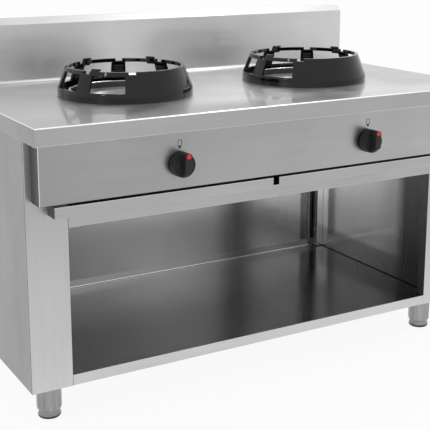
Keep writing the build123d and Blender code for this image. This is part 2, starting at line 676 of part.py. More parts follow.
def ring_windows():
    """Wedge-shaped cutters for the open bays."""
    half = math.radians(WINDOW_ANGLE / 2)
    inner, outer = 60.0, RING_RADIUS + 40
    wedge = make_face(Polyline(
        (inner * math.cos(half), -inner * math.sin(half)), (outer, -outer * math.tan(half)),
        (outer, outer * math.tan(half)), (inner * math.cos(half), inner * math.sin(half)), close=True))
    cutter = upright(wedge, WINDOW_BOTTOM, WINDOW_TOP)
    return Compound([Rot(0, 0, PILLAR_PITCH * (bay + 0.5)) * cutter for bay in WINDOWED_BAYS])


def rim_notches():
    cutter = Pos(RING_RIM_RADIUS - 10, 0, RING_HEIGHT) * Box(60, RIM_NOTCH_WIDTH, 2 * RIM_NOTCH_DEPTH)
    return Compound([Rot(0, 0, PILLAR_PITCH * pillar) * cutter for pillar in NOTCHED_PILLARS])


def lugs():
    """Raised lugs on the rim, beside three of the notches."""
    depth, width, height = LUG_SIZE
    lug = fillet(Box(depth, width, height).edges().filter_by(Axis.X), 5)
    lug = Pos(RING_RIM_RADIUS - depth / 2, 0, RING_HEIGHT + LUG_RISE - height / 2) * lug
    return [Rot(0, 0, angle) * lug for angle in LUG_ANGLES]


def pads():
    """Ribbed pads inside the pillars between the open bays."""
    depth, width, height = PAD_SIZE
    pad = Box(depth, width, height)
    for rib in range(PAD_RIBS):
        level = (rib - (PAD_RIBS - 1) / 2) * height / (PAD_RIBS + 1)
        pad -= Pos(-depth / 2, 0, level) * Box(3, width - 10, 3.5)
    level = PAD_LEVEL
    lean =math.degrees(math.atan((RING_RADIUS - RING_STEP - RING_RIM_RADIUS) / (RING_HEIGHT - RING_SKIRT)))
    pad = Pos(cone_radius(level) - RING_WALL - depth / 2 + 1, 0, level) * Rot(0, -lean, 0) * pad
    return [Rot(0, 0, PILLAR_PITCH * pillar) * pad for pillar in NOTCHED_PILLARS]


# ---- burner pieces; each has its burner's axis at the origin -------------------------------

def make_bowl():
    """Deep-drawn bowl that hangs by its lip in the worktop's opening."""
    points = [
        (BOWL_LIP_RADIUS, HEIGHT + SHEET),
        (BOWL_COLLAR_RADIUS + 2, HEIGHT + SHEET),
        (BOWL_COLLAR_RADIUS, HEIGHT + BOWL_COLLAR_RISE),
        (BOWL_WALL_RADIUS, HEIGHT + BOWL_COLLAR_RISE),
        (BOWL_WALL_RADIUS - 7, HEIGHT - 12),
        (BOWL_FLOOR_RADIUS, BOWL_LEVEL),
        (BOWL_HOLE_RADIUS, BOWL_LEVEL),
        (BOWL_HOLE_RADIUS, BOWL_LEVEL + 6),
    ]
    section = bent_sheet(points, [2, 2, 2.2, 12, 14, 2], SHEET, Side.LEFT)
    bowl = revolve(Plane.XZ * section, Axis.Z)
    for dx, dy in (PILOT_OFFSET, PROBE_OFFSET):
        bowl -= Pos(dx, dy, BOWL_LEVEL) * Cylinder(SIDE_HOLE_RADIUS, 20)
    return bowl


def make_burner():
    """Cast body with its mixing tube towards the front."""
    foot_level = BRACKET_LEVEL + BRACKET_SHEET
    profile = Polyline((0, foot_level), (BODY_BASE_RADIUS, foot_level), (BODY_BASE_RADIUS, foot_level + 8),
                       (BODY_RADIUS - 8, foot_level + 14), (BODY_RADIUS - 8, foot_level + 20),
                       (BODY_RADIUS, foot_level + 32), (BODY_RADIUS, BODY_TOP),
                       (HEAD_SPIGOT_RADIUS + HEAD_FIT, BODY_TOP),
                       (HEAD_SPIGOT_RADIUS + HEAD_FIT, BODY_TOP - HEAD_SPIGOT_DEPTH - HEAD_FIT),
                       (HEAD_SPIGOT_RADIUS - 4, BODY_TOP - HEAD_SPIGOT_DEPTH - HEAD_FIT),
                       (HEAD_SPIGOT_RADIUS - 4, TUBE_LEVEL - 18), (0, TUBE_LEVEL - 18), close=True)
    body = revolve(Plane.XZ * make_face(profile), Axis.Z)
    body += rod((0, -HEAD_SPIGOT_RADIUS, TUBE_LEVEL), (0, TUBE_FRONT + BELL_LENGTH, TUBE_LEVEL), TUBE_RADIUS)
    bell = revolve(Plane.XY * make_face(Polyline(
        (0, TUBE_FRONT + BELL_LENGTH), (TUBE_RADIUS, TUBE_FRONT + BELL_LENGTH),
        (BELL_RADIUS, TUBE_FRONT + 3), (BELL_RADIUS, TUBE_FRONT), (0, TUBE_FRONT), close=True)), Axis.Y)
    body += Pos(0, 0, TUBE_LEVEL) * bell
    body -= rod((0, TUBE_FRONT - 1, TUBE_LEVEL), (0, -10, TUBE_LEVEL), TUBE_BORE)
    return body


def make_burner_head():
    """Loose flame-port head: a cap with two rows of ports and a locating spigot."""
    cap = Pos(0, 0, BODY_TOP + HEAD_HEIGHT / 2) * Cylinder(HEAD_RADIUS, HEAD_HEIGHT)
    cap = chamfer(cap.edges().group_by(Axis.Z)[-1], 7)
    spigot = Pos(0, 0, BODY_TOP - HEAD_SPIGOT_DEPTH / 2) * Cylinder(HEAD_SPIGOT_RADIUS, HEAD_SPIGOT_DEPTH)
    hollow = Pos(0, 0, BODY_TOP + 4) * Cylinder(HEAD_SPIGOT_RADIUS - 5, 2 * HEAD_SPIGOT_DEPTH + 18)
    head = cap + spigot - hollow
    ports = []
    for index in range(PORT_COUNT):
        turn = Rot(0, 0, index * 360 / PORT_COUNT)
        ports.append(turn * rod((30, 0, BODY_TOP + 9), (HEAD_RADIUS + 2, 0, BODY_TOP + 9), PORT_RADIUS))
    return head - Compound(ports)


def make_bracket():
    """Strap that hangs under the worktop and carries the burner body."""
    top, low = HEIGHT - TOP_SHEET - BRACKET_SHEET, BRACKET_LEVEL
    spread, foot = BRACKET_SPREAD, BRACKET_FOOT
    points = [(-spread - foot, top), (-spread, top), (-spread, low), (spread, low), (spread, top), (spread + foot, top)]
    section = bent_sheet(points, [4, 4, 4, 4], BRACKET_SHEET, Side.LEFT)
    return Pos(0, BRACKET_WIDTH / 2, 0) * extrude(Plane.XZ * section, BRACKET_WIDTH)


def make_pilot_burner():
    """Pilot burner on a small arm fixed to the burner body."""
    x, y = PILOT_OFFSET
    low, arm_top, hood_low = ARM_LEVEL - ARM_SHEET, ARM_LEVEL + ARM_SHEET, ARM_LEVEL + PILOT_RISE - 10
    body = rod((x, y, low), (x, y, hood_low), 4.5)
    hood = rod((x, y, hood_low), (x, y, hood_low + 10), 5.5)
    slot = box_between((x, y - 1.5, hood_low + 2), (x + 8, y + 1.5, hood_low + 8))
    edge, wall_x, (probe_x, probe_y) = x - 6, -BODY_RADIUS - ARM_GAP, PROBE_OFFSET
    arm = box_between((edge, y - 8, ARM_LEVEL), (wall_x, y + 8, arm_top))
    arm += box_between((edge, probe_y - 8, ARM_LEVEL), (probe_x + 6, y, arm_top))
    tab = box_between((wall_x - ARM_SHEET, y - 8, ARM_LEVEL - 18), (wall_x, y + 8, arm_top))
    probe_hole = rod((probe_x, probe_y, low), (probe_x, probe_y, arm_top + 1), PROBE_RADIUS + PIPE_PLAY)
    pipe_hole = rod((x, y, low - 1), (x, y, hood_low - 10), PILOT_PIPE_RADIUS + PIPE_PLAY)
    return body + hood + arm + tab - slot - pipe_hole - probe_hole


def make_pilot_pipe():
    x, y = PILOT_OFFSET
    tap_side = -TAP_BLOCK[0] / 2 - 8
    points = [(tap_side, TAP_BLOCK_Y, TAP_LEVEL + 6), (x, TAP_BLOCK_Y, TAP_LEVEL + 6),
              (x, y, TAP_LEVEL + 6), (x, y, ARM_LEVEL + 13)]
    return pipe(points, 12, PILOT_PIPE_RADIUS, PILOT_BORE)


def make_thermocouple():
    """Probe beside the burner head with its lead back to the tap's magnet."""
    x, y = PROBE_OFFSET
    level = TAP_LEVEL - MAGNET_DROP
    turn_y, foot, neck = INJECTOR_Y + LEAD_SETBACK, ARM_LEVEL - 8, ARM_LEVEL + PROBE_RISE - 18
    points = [(0, MAGNET_END_Y, level), (0, turn_y, level), (x, turn_y, level), (x, y, level), (x, y, foot + 2)]
    lead = pipe(points, 8, LEAD_RADIUS, 0.5)
    probe = rod((x, y, foot), (x, y, neck), PROBE_RADIUS) + rod((x, y, neck), (x, y, neck + 18), 2.2)
    nut = extrude(Pos(x, y, ARM_LEVEL + ARM_SHEET) * RegularPolygon(5.5, 6), 7)
    return lead + probe + nut


def make_tap():
    """Tap body with bonnet, magnet housing, saddle inlet and outlets."""
    width, depth, height = TAP_BLOCK
    y, z = TAP_BLOCK_Y, TAP_LEVEL
    block = fillet((Pos(0, y, z) * Box(width, depth, height)).edges().filter_by(Axis.Y), 5)
    bonnet_front, nose_front = PANEL_Y + SHEET, PANEL_Y - 0.5
    bonnet = rod((0, y - depth / 2, z), (0, bonnet_front, z), TAP_BONNET_RADIUS)
    nose = rod((0, bonnet_front, z), (0, nose_front, z), TAP_NOSE_RADIUS)
    magnet = rod((0, y + depth / 2, z - MAGNET_DROP), (0, MAGNET_END_Y, z - MAGNET_DROP), MAGNET_RADIUS)
    inlet = rod((0, MANIFOLD_Y, z - height / 2), (0, MANIFOLD_Y, MANIFOLD_LEVEL + 4), 10)
    outlet = rod((0, y, z + height / 2), (0, y, z + height / 2 + 12), 9)
    pilot_port = rod((-width / 2, y, z + 6), (-width / 2 - 8, y, z + 6), 4.5)
    tap = block + bonnet + nose + magnet + inlet + outlet + pilot_port
    pocket_radius, pocket_depth = WASHER_POCKET
    pocket_back = WASHER_Y + WASHER_THICK + pocket_depth
    tap -= rod((0, WASHER_Y - 0.02, z), (0, pocket_back, z), pocket_radius)
    tap -= rod((0, nose_front - 1, z), (0, STEM_BACK + 5, z), STEM_RADIUS + STEM_FIT)
    tap -= rod((-40, MANIFOLD_Y, MANIFOLD_LEVEL), (40, MANIFOLD_Y, MANIFOLD_LEVEL), MANIFOLD_RADIUS + PIPE_FIT)
    return tap - rod((0, y, z + height / 2 + 4), (0, y, z + height / 2 + 13), PIPE_RADIUS + PIPE_PLAY)


def make_tap_stem():
    """Spindle with a flat at its outer end."""
    z = TAP_LEVEL
    stem = rod((0, STEM_FRONT, z), (0, STEM_BACK, z), STEM_RADIUS)
    flat = box_between((-STEM_RADIUS - 1, STEM_FRONT - 1, z + STEM_FLAT),
                       (STEM_RADIUS + 1, STEM_FRONT + 22, z + STEM_RADIUS + 1))
    return stem - flat


def make_tap_washer():
    """Thrust washer that the return spring bears on; the stem turns in it."""
    front = (0, WASHER_Y, TAP_LEVEL)
    rear = (0, WASHER_Y + WASHER_THICK, TAP_LEVEL)
    return rod(front, rear, WASHER_RADIUS, STEM_RADIUS + STEM_FIT)


def make_feed_pipe():
    top = TAP_LEVEL + TAP_BLOCK[2] / 2
    crest = HEIGHT - PIPE_DROP
    points = [(0, TAP_BLOCK_Y, top + 4), (0, TAP_BLOCK_Y, crest), (0, INJECTOR_Y, crest),
              (0, INJECTOR_Y, TUBE_LEVEL + 16)]
    return pipe(points, 14, PIPE_RADIUS, PIPE_BORE)


def make_injector():
    """Brass holder under the feed pipe with the nozzle towards the mixing tube."""
    y, z = INJECTOR_Y, TUBE_LEVEL
    width, depth, height = INJECTOR_BLOCK
    holder = fillet((Pos(0, y, z) * Box(width, depth, height)).edges().filter_by(Axis.Z), 2)
    nut = extrude(Pos(0, y, z + height / 2) * RegularPolygon(9, 6), 10)
    tip = y + depth / 2 + NOZZLE_LENGTH
    nozzle = rod((0, y, z), (0, tip, z), NOZZLE_RADIUS)
    injector = holder + nut + nozzle
    injector -= rod((0, y, z + 16), (0, y, z + height / 2 + 11), PIPE_RADIUS + PIPE_PLAY)
    return injector - rod((0, tip - 4, z), (0, tip + 1, z), NOZZLE_RADIUS / 4)


def make_manifold():
    """Gas rail along the front, turned back to the inlet at the rear; left end closed."""
    points = [(MANIFOLD_LEFT, MANIFOLD_Y, MANIFOLD_LEVEL), (MANIFOLD_RIGHT, MANIFOLD_Y, MANIFOLD_LEVEL),
              (MANIFOLD_RIGHT, MANIFOLD_END_Y, MANIFOLD_LEVEL)]
    rail = pipe(points, MANIFOLD_ELBOW, MANIFOLD_RADIUS, MANIFOLD_BORE)
    cap = rod((MANIFOLD_LEFT - MANIFOLD_CAP, MANIFOLD_Y, MANIFOLD_LEVEL), (MANIFOLD_LEFT, MANIFOLD_Y, MANIFOLD_LEVEL),
              MANIFOLD_RADIUS)
    return rail + cap


def make_inlet_fitting():
    """Hexagon fitting on the rail's end with the threaded spigot at the back."""
    x, z = MANIFOLD_RIGHT, MANIFOLD_LEVEL
    plane = Plane((x, MANIFOLD_END_Y, z), z_dir=(0, 1, 0))
    hexagon = extrude(plane * RegularPolygon(INLET_HEX / 2 / math.cos(math.radians(30)), 6),
                      INLET_HEX_LENGTH)
    thread = rod((x, MANIFOLD_END_Y + INLET_HEX_LENGTH, z), (x, INLET_END_Y, z), INLET_THREAD_RADIUS)
    thread = chamfer(thread.edges().group_by(Axis.Y)[-1], INLET_CHAMFER)
    return hexagon + thread - rod((x, MANIFOLD_END_Y - 1, z), (x, INLET_END_Y + 1, z), MANIFOLD_BORE)


def make_manifold_clip():
    """Saddle round the gas rail with an arm to the control panel's lip; at x = 0."""
    half = CLIP_WIDTH / 2
    ring = rod((-half, MANIFOLD_Y, MANIFOLD_LEVEL), (half, MANIFOLD_Y, MANIFOLD_LEVEL),
               MANIFOLD_RADIUS + CLIP_WALL, MANIFOLD_RADIUS + PIPE_FIT)
    arm_low, arm_high = HEIGHT - PANEL_BOTTOM + BEND, HEIGHT - PANEL_BOTTOM + PANEL_LIP - 2
    arm_y = (CABINET_Y, MANIFOLD_Y - MANIFOLD_RADIUS + CLIP_WALL / 2)
    arm = box_between((-half, arm_y[0], arm_low), (half, arm_y[1], arm_high))
    arm -= rod((-half - 1, MANIFOLD_Y, MANIFOLD_LEVEL), (half + 1, MANIFOLD_Y, MANIFOLD_LEVEL),
               MANIFOLD_RADIUS + CLIP_WALL / 2)
    return ring + arm


# ---- knob --------------------------------------------------------------------------------

def make_grip(back, face):
    """Bar across the face; its upper end runs back over the body and its lower end slopes away."""
    front, root = face - GRIP_DEPTH, face + KNOB_WALL / 2
    outline = Polyline((back - GRIP_SETBACK, GRIP_TOP / 3), (back - GRIP_SETBACK, GRIP_TOP), (front, GRIP_TOP),
                       (front, -GRIP_FLAT), (face, -GRIP_BOTTOM), (root, -GRIP_BOTTOM), (root, GRIP_TOP / 3),
                       close=True)
    bar = extrude(Plane.YZ * make_face(outline), GRIP_WIDTH / 2, both=True)
    bar = fillet(bar.edges().filter_by(Axis.Y).group_by(Axis.Z)[-1], GRIP_CORNER)
    bar = fillet(bar.edges().group_by(Axis.Y)[0], GRIP_EDGE)
    return Pos(0, 0, TAP_LEVEL) * bar


def make_knob():
    """Round knob with a grip bar; its axis along Y through the origin's height."""
    back = PANEL_Y - KNOB_GAP
    face = back - KNOB_DEPTH
    plane = Plane((0, back, TAP_LEVEL), z_dir=(0, -1, 0))
    body = loft([plane * Circle(KNOB_RADIUS), plane.offset(KNOB_DEPTH) * Circle(KNOB_FACE_RADIUS)])
    body = fillet(body.edges().filter_by(GeomType.CIRCLE).group_by(Axis.Y)[0], GRIP_EDGE)
    knob = body + make_grip(back, face)
    hollow_end = (0, face + KNOB_WALL, TAP_LEVEL)
    knob -= rod((0, back + 1, TAP_LEVEL), hollow_end, KNOB_RADIUS - KNOB_WALL)
    knob += rod((0, back, TAP_LEVEL), (0, face + KNOB_WALL / 2, TAP_LEVEL), 2 * STEM_RADIUS + 1)
    bore = STEM_RADIUS + KNOB_FIT
    socket = rod((0, back + 1, TAP_LEVEL), (0, STEM_FRONT - KNOB_FIT, TAP_LEVEL), bore)
    key = box_between((-bore, STEM_FRONT - 1, TAP_LEVEL + STEM_FLAT + KNOB_FIT),
                      (bore, STEM_FRONT + 21, TAP_LEVEL + bore))
    spot_y = face - GRIP_DEPTH
    spot = rod((0, spot_y + SPOT_THICK, TAP_LEVEL + SPOT_HEIGHT), (0, spot_y - 1, TAP_LEVEL + SPOT_HEIGHT), SPOT_RADIUS)
    return knob - (socket - key) - spot


def make_knob_spot():
    """Red spot let into the grip bar's upper end."""
    spot_y = PANEL_Y - KNOB_GAP - KNOB_DEPTH - GRIP_DEPTH
    z = TAP_LEVEL + SPOT_HEIGHT
    return rod((0, spot_y + SPOT_THICK, z), (0, spot_y, z), SPOT_RADIUS - 0.05)


# ---- screws ------------------------------------------------------------------------------

def screw_head():
    """Pan head with a cross recess, standing on the origin."""
    head = extrude(Circle(SCREW_RADIUS), SCREW_HEIGHT)
    head = fillet(head.edges().group_by(Axis.Z)[-1], 1.4)
    recess = Box(1.2, 5, 2.4) + Box(5, 1.2, 2.4)
    return head - Pos(0, 0, SCREW_HEIGHT) * recess


def wall_screws():
    """Screws of the inner walls and rear posts."""
    front_y, rear_y = CABINET_Y + STILE_RETURN + SCREW_INSET, REAR_POST_FACE + REAR_POST_DEPTH / 2
    post_x = HALF - REAR_POST_INSET
    heads = []
    for sign in (-1, 1):
        inward = Rot(0, -90 * sign, 0) * screw_head()
        for z in (SHELF_LEVEL + WALL_SCREW_RISE, INNER_TOP - WALL_SCREW_DROP):
            heads.append(Pos(sign * INNER_HALF, front_y, z) * inward)
            heads.append(Pos(sign * post_x, rear_y, z) * inward)
    return heads


def back_screws():
    """Screws of the back panel, seen from behind."""
    backward = Rot(-90, 0, 0) * screw_head()
    reach = CABINET_HALF - 2 * SCREW_INSET
    low, high = CABINET_BOTTOM + SCREW_INSET, HEIGHT - TOP_EDGE - SCREW_INSET
    places = [(reach * column / 2, z) for column in range(-2, 3) for z in (low, (low + high) / 2, high)]
    return [Pos(x, BACK_PANEL_Y + SHEET, z) * backward for x, z in places]


def build_fixed_pieces():
    save(make_worktop(), "worktop")
    save(make_splash_cover(), "splash_cover")
    save(make_control_panel(), "control_panel")
    save(make_back_panel(), "back_panel")
    save(make_shelf(), "shelf")
    save(make_front_rail(), "front_rail")
    save(make_drip_tray(), "drip_tray")
    save(make_manifold(), "manifold")
    save(make_inlet_fitting(), "inlet_fitting")
    clip_places = [(x, 0, 0) for x in (CLIP_OFFSET - BURNER_X, BURNER_X - CLIP_OFFSET, BURNER_X + CLIP_OFFSET)]
    save(row_of(make_manifold_clip(), clip_places), "manifold_clips")
    save(Compound(wall_screws() + back_screws()), "panel_screws")


def build_sided_pieces():
    left_pieces = {
        "side_panel": make_side_panel(),
        "inner_wall": make_inner_wall(),
        "rear_post": make_rear_post(),
        "base_channel": make_base_channel(),
        "tray_runner": make_tray_runner(),
    }
    for side in BURNERS:
        for name, shape in left_pieces.items():
            save(mirrored(shape, side), f"{name}_{side}")


def build_burner_pieces():
    pieces = {
        "burner_bowl": make_bowl(),
        "burner": make_burner(),
        "burner_head": make_burner_head(),
        "burner_bracket": make_bracket(),
        "pilot_burner": make_pilot_burner(),
        "pilot_pipe": make_pilot_pipe(),
        "thermocouple": make_thermocouple(),
        "tap": make_tap(),
        "tap_stem": make_tap_stem(),
        "tap_washer": make_tap_washer(),
        "feed_pipe": make_feed_pipe(),
        "injector": make_injector(),
        "knob": make_knob(),
        "knob_spot": make_knob_spot(),
    }
    ring = make_wok_ring()
    for side, x in BURNERS.items():
        for name, shape in pieces.items():
            save(Pos(x, 0, 0) * shape, f"{name}_{side}")
        save(Pos(x, 0, HEIGHT) * Rot(0, 0, PILLAR_TURN[side]) * ring, f"wok_ring_{side}")


def build_legs():
    leg, foot = make_leg(), make_foot()
    bolt_places = []
    for name, (x, y) in LEG_PLACES.items():
        save(Pos(x, y, 0) * leg, f"leg_{name}")
        save(Pos(x, y, 0) * foot, f"foot_{name}")
        bolt_places += [(x + dx, y + dy, 0) for dx, dy in bolt_offsets()]
    save(row_of(make_leg_bolt(), bolt_places), "leg_bolts")


build_fixed_pieces()
build_sided_pieces()
build_burner_pieces()
build_legs()
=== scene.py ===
# %% [markdown]
# # A two-burner wok range in stainless steel
#
# The range is sheet metal: one bent worktop with an upstand, a folded control panel, a
# double-walled cabinet that is open at the front, and two black enamelled pan rings. The
# engineering model already holds every sheet with its true bends, so this lesson keeps those
# sheets and spends its effort on finishes, on the two castings, on the knobs and on print.
# Lengths are metres, +Z is up, and the front of the range faces -Y.

# %% Load the frame
import bpy
import json
import math
import numpy as np
from mathutils import Matrix, Vector

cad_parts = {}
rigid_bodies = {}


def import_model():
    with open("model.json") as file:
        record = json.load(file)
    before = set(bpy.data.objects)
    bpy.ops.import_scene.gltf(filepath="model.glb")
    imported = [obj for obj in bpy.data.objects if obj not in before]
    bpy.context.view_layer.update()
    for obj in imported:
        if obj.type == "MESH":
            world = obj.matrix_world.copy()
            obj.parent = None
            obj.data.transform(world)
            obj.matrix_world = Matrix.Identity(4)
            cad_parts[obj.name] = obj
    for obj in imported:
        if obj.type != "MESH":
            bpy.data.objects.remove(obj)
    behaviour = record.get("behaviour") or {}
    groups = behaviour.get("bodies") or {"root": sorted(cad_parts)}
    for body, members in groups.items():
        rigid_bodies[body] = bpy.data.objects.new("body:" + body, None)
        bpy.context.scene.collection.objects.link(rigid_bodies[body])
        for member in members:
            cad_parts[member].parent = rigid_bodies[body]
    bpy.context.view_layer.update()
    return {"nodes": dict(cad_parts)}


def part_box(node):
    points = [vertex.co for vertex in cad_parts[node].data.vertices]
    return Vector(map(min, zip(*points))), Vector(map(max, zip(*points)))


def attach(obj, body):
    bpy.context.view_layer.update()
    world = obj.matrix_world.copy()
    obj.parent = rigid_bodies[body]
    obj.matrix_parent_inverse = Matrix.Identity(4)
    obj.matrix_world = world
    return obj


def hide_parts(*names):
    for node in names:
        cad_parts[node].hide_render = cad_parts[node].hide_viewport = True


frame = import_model()
nodes = frame["nodes"]
MM = 0.001

# %% [markdown]
# ## Helpers that turn whole arrays into meshes
#
# Every form below starts as an array of points computed in one go. Blender takes such an
# array directly, which is much faster than adding points one by one.

# %% Mesh from arrays
def make_mesh(name, points, quads, tris=None, smooth_angle=35.0):
    """Object from an (n, 3) array of points and arrays of faces; the frame's axes, metres."""
    faces = [tuple(q) for q in np.asarray(quads).tolist()]
    if tris is not None:
        faces += [tuple(t) for t in np.asarray(tris).tolist()]
    mesh = bpy.data.meshes.new(name)
    mesh.from_pydata(np.asarray(points, float).tolist(), [], faces)
    mesh.validate()
    mesh.shade_smooth()
    mesh.set_sharp_from_angle(angle=math.radians(smooth_angle))
    obj = bpy.data.objects.new(name, mesh)
    bpy.context.scene.collection.objects.link(obj)
    return obj


def merge(parts):
    """Join (points, quads, tris) triples into one triple."""
    points, quads, tris, start = [], [], [], 0
    for p, q, t in parts:
        points.append(p)
        quads.append(np.asarray(q, int).reshape(-1, 4) + start)
        tris.append(np.asarray(t, int).reshape(-1, 3) + start)
        start += len(p)
    return np.vstack(points), np.vstack(quads), np.vstack(tris)


def bevel(obj, width, segments=3, angle=40.0):
    """Rounded edges, as cast or moulded things have."""
    mod = obj.modifiers.new("rounded_edges", "BEVEL")
    mod.width, mod.segments = width, segments
    mod.limit_method, mod.angle_limit = "ANGLE", math.radians(angle)
    mod.harden_normals = False
    return mod


print("helpers ready")

# %% Rounded prisms
def rounded_rectangle(width, height, radius, steps=8):
    """Outline of a rectangle with corner arcs: centre + radius * (cos t, sin t) per corner."""
    t = np.linspace(0, np.pi / 2, steps)
    arcs = []
    for k, (sx, sy) in enumerate(((1, 1), (-1, 1), (-1, -1), (1, -1))):
        a = t + k * np.pi / 2
        cx, cy = sx * (width / 2 - radius), sy * (height / 2 - radius)
        arcs.append(np.c_[cx + radius * np.cos(a), cy + radius * np.sin(a)])
    return np.vstack(arcs)


def prism(outline, steps):
    """Closed form: loops of one outline, each moved in by steps[k][0] and up to steps[k][1].

    A loop is outline - inset * normal, with the normal from central differences.
    """
    ahead, behind = np.roll(outline, -1, axis=0), np.roll(outline, 1, axis=0)
    along = ahead - behind
    normal = np.c_[along[:, 1], -along[:, 0]]
    normal /= np.linalg.norm(normal, axis=1)[:, None]
    count, loops = len(outline), len(steps)
    rings = [np.c_[outline - inset * normal, np.full(count, level)] for inset, level in steps]
    middle = [[*outline.mean(axis=0), level] for level in (steps[0][1], steps[-1][1])]
    points = np.vstack(rings + [middle])
    i = np.arange(count)
    j = (i + 1) % count
    quads = np.vstack([np.c_[k * count + i, k * count + j, (k + 1) * count + j, (k + 1) * count + i]
                       for k in range(loops - 1)])
    low, high, last = loops * count, loops * count + 1, (loops - 1) * count
    tris = np.vstack([np.c_[j, i, np.full(count, low)], np.c_[last + i, last + j, np.full(count, high)]])
    return points, quads, tris


def placed(part, matrix):
    """A (points, quads, tris) part moved by a 4 x 4 matrix."""
    points, quads, tris = part
    m = np.array(matrix)
    return points @ m[:3, :3].T + m[:3, 3], quads, tris


print("rounded rectangle points:", len(rounded_rectangle(0.02, 0.06, 0.005)))

# %% [markdown]
# ## The pan rings
#
# Each burner carries a loose cast-iron ring with a round skirt, a sloping wall with six
# windows, a rim with notches and three curled lugs that keep a pan from sliding. It could be
# cut from a revolved solid with Booleans, but those leave long thin faces that shade badly.
# Here the wall is a grid of cells round the ring, and an array of true and false says which
# cells are metal. Every border between metal and air becomes a face, then a bevel rounds the
# edges as enamel does.

# %% Ring measurements
BURNER_X = {"left": -320.0 * MM, "right": 320.0 * MM}
WORKTOP = 850.0 * MM
RING_FOOT = 200.0 * MM              # radii and heights of the ring, from its axis and its base
RING_INNER = 191.0 * MM
RING_TOP = 86.0 * MM
RIM_RADIUS = 174.5 * MM
RIM_WIDTH = 10.0 * MM
RIM_LOW = 76.0 * MM
SKIRT = 27.0 * MM
LEDGE = 2.0 * MM
WALL = 7.0 * MM
WINDOW = (28.0 * MM, 75.0 * MM)
NOTCH_LEVEL = 78.0 * MM
PILLAR = 45.0                       # angles in degrees; this one from pillar to pillar
FIRST_PILLAR = {"left": 27.0, "right": 6.7}
OPEN_BAYS = (0, 1, 2, 3, 4, 7)
PAD_PILLARS = range(6)              # pillars with a pad inside and a notch above
WINDOW_ANGLE = 31.0
NOTCH_ANGLE = 7.0
LUG_ANGLES = (10.5, 82.0, 189.0)


def cone_radius(level):
    """Outer radius of the sloping wall: a straight line from skirt to rim."""
    share = (level - SKIRT) / (RING_TOP - SKIRT)
    return (RING_FOOT - LEDGE) + (RIM_RADIUS - RING_FOOT + LEDGE) * share


print("wall leans in by mm:", round((cone_radius(SKIRT) - RIM_RADIUS) / MM, 1))

# %% Ring wall as a grid of cells
def ring_levels():
    """Rows of the wall: outer radius, inner radius, outer height, inner height."""
    rows = [
        (RING_FOOT - 0.8 * MM, RING_INNER + 0.8 * MM, 0.0, 0.0),
        (RING_FOOT, RING_INNER, 0.8 * MM, 0.8 * MM),
        (RING_FOOT + 0.2 * MM, RING_INNER, 12 * MM, 12 * MM),
        (RING_FOOT, RING_INNER, 23 * MM, 20 * MM),
        (RING_FOOT - 0.9 * MM, RING_INNER - 0.3 * MM, 26 * MM, 24 * MM),
    ]
    between = [level * MM for level in (30, 40, 50, 60, 68)]
    near_top = [level * MM for level in (80, 82)]
    for z in (WINDOW[0], *between, WINDOW[1], RIM_LOW, NOTCH_LEVEL, *near_top):
        inner = cone_radius(z) - WALL
        if z >= WINDOW[1]:
            inner = RIM_RADIUS - RIM_WIDTH + max(RIM_LOW - z, 0.0) / 2
        rows.append((cone_radius(z), inner, z, z))
    rows.append((RIM_RADIUS, RIM_RADIUS - RIM_WIDTH, RING_TOP, RING_TOP))
    return np.array(rows)


def metal_cells(angles, heights):
    """True where a cell of the wall is metal, from its middle angle and middle height."""
    a, z = np.meshgrid(angles, heights, indexing="ij")
    bay = np.floor(a / PILLAR).astype(int)
    from_middle = np.abs(a - (bay + 0.5) * PILLAR)
    beside_window = (z > WINDOW[0]) & (z < WINDOW[1])
    window = np.isin(bay, OPEN_BAYS) & (from_middle < WINDOW_ANGLE / 2) & beside_window
    pillar = np.round(a / PILLAR).astype(int) % int(360 / PILLAR)
    from_pillar = np.abs(a - np.round(a / PILLAR) * PILLAR)
    notch = np.isin(pillar, PAD_PILLARS) & (from_pillar < NOTCH_ANGLE / 2) & (z > NOTCH_LEVEL)
    return ~(window | notch)


def ring_wall(count=720):
    """Shell of all metal cells. A point of column i, row k is (r cos a, r sin a, z)."""
    rows = ring_levels()
    a = np.arange(count) * 2 * np.pi / count
    outer = np.stack([np.outer(np.cos(a), rows[:, 0]), np.outer(np.sin(a), rows[:, 0]),
                      np.tile(rows[:, 2], (count, 1))], axis=-1)
    inner = np.stack([np.outer(np.cos(a), rows[:, 1]), np.outer(np.sin(a), rows[:, 1]),
                      np.tile(rows[:, 3], (count, 1))], axis=-1)
    levels = len(rows)
    points = np.vstack([outer.reshape(-1, 3), inner.reshape(-1, 3)])
    solid = metal_cells((np.arange(count) + 0.5) * 360 / count, (rows[1:, 2] + rows[:-1, 2]) / 2)
    i, k = np.nonzero(solid)
    n = (i + 1) % count
    shift = count * levels

    def at(column, row, inside=0):
        return column * levels + row + inside * shift

    faces = [np.c_[at(i, k), at(n, k), at(n, k + 1), at(i, k + 1)],
             np.c_[at(i, k + 1, 1), at(n, k + 1, 1), at(n, k, 1), at(i, k, 1)]]
    above = np.pad(solid, ((0, 0), (0, 1)))[:, 1:]
    below = np.pad(solid, ((0, 0), (1, 0)))[:, :-1]
    i, k = np.nonzero(solid & ~above)
    n = (i + 1) % count
    faces.append(np.c_[at(i, k + 1), at(n, k + 1), at(n, k + 1, 1), at(i, k + 1, 1)])
    i, k = np.nonzero(solid & ~below)
    n = (i + 1) % count
    faces.append(np.c_[at(n, k), at(i, k), at(i, k, 1), at(n, k, 1)])
    i, k = np.nonzero(solid & ~np.roll(solid, -1, axis=0))
    n = (i + 1) % count
    faces.append(np.c_[at(n, k), at(n, k, 1), at(n, k + 1, 1), at(n, k + 1)])
    i, k = np.nonzero(solid & ~np.roll(solid, 1, axis=0))
    faces.append(np.c_[at(i, k, 1), at(i, k), at(i, k + 1), at(i, k + 1, 1)])
    return points, np.vstack(faces), np.empty((0, 3), int)


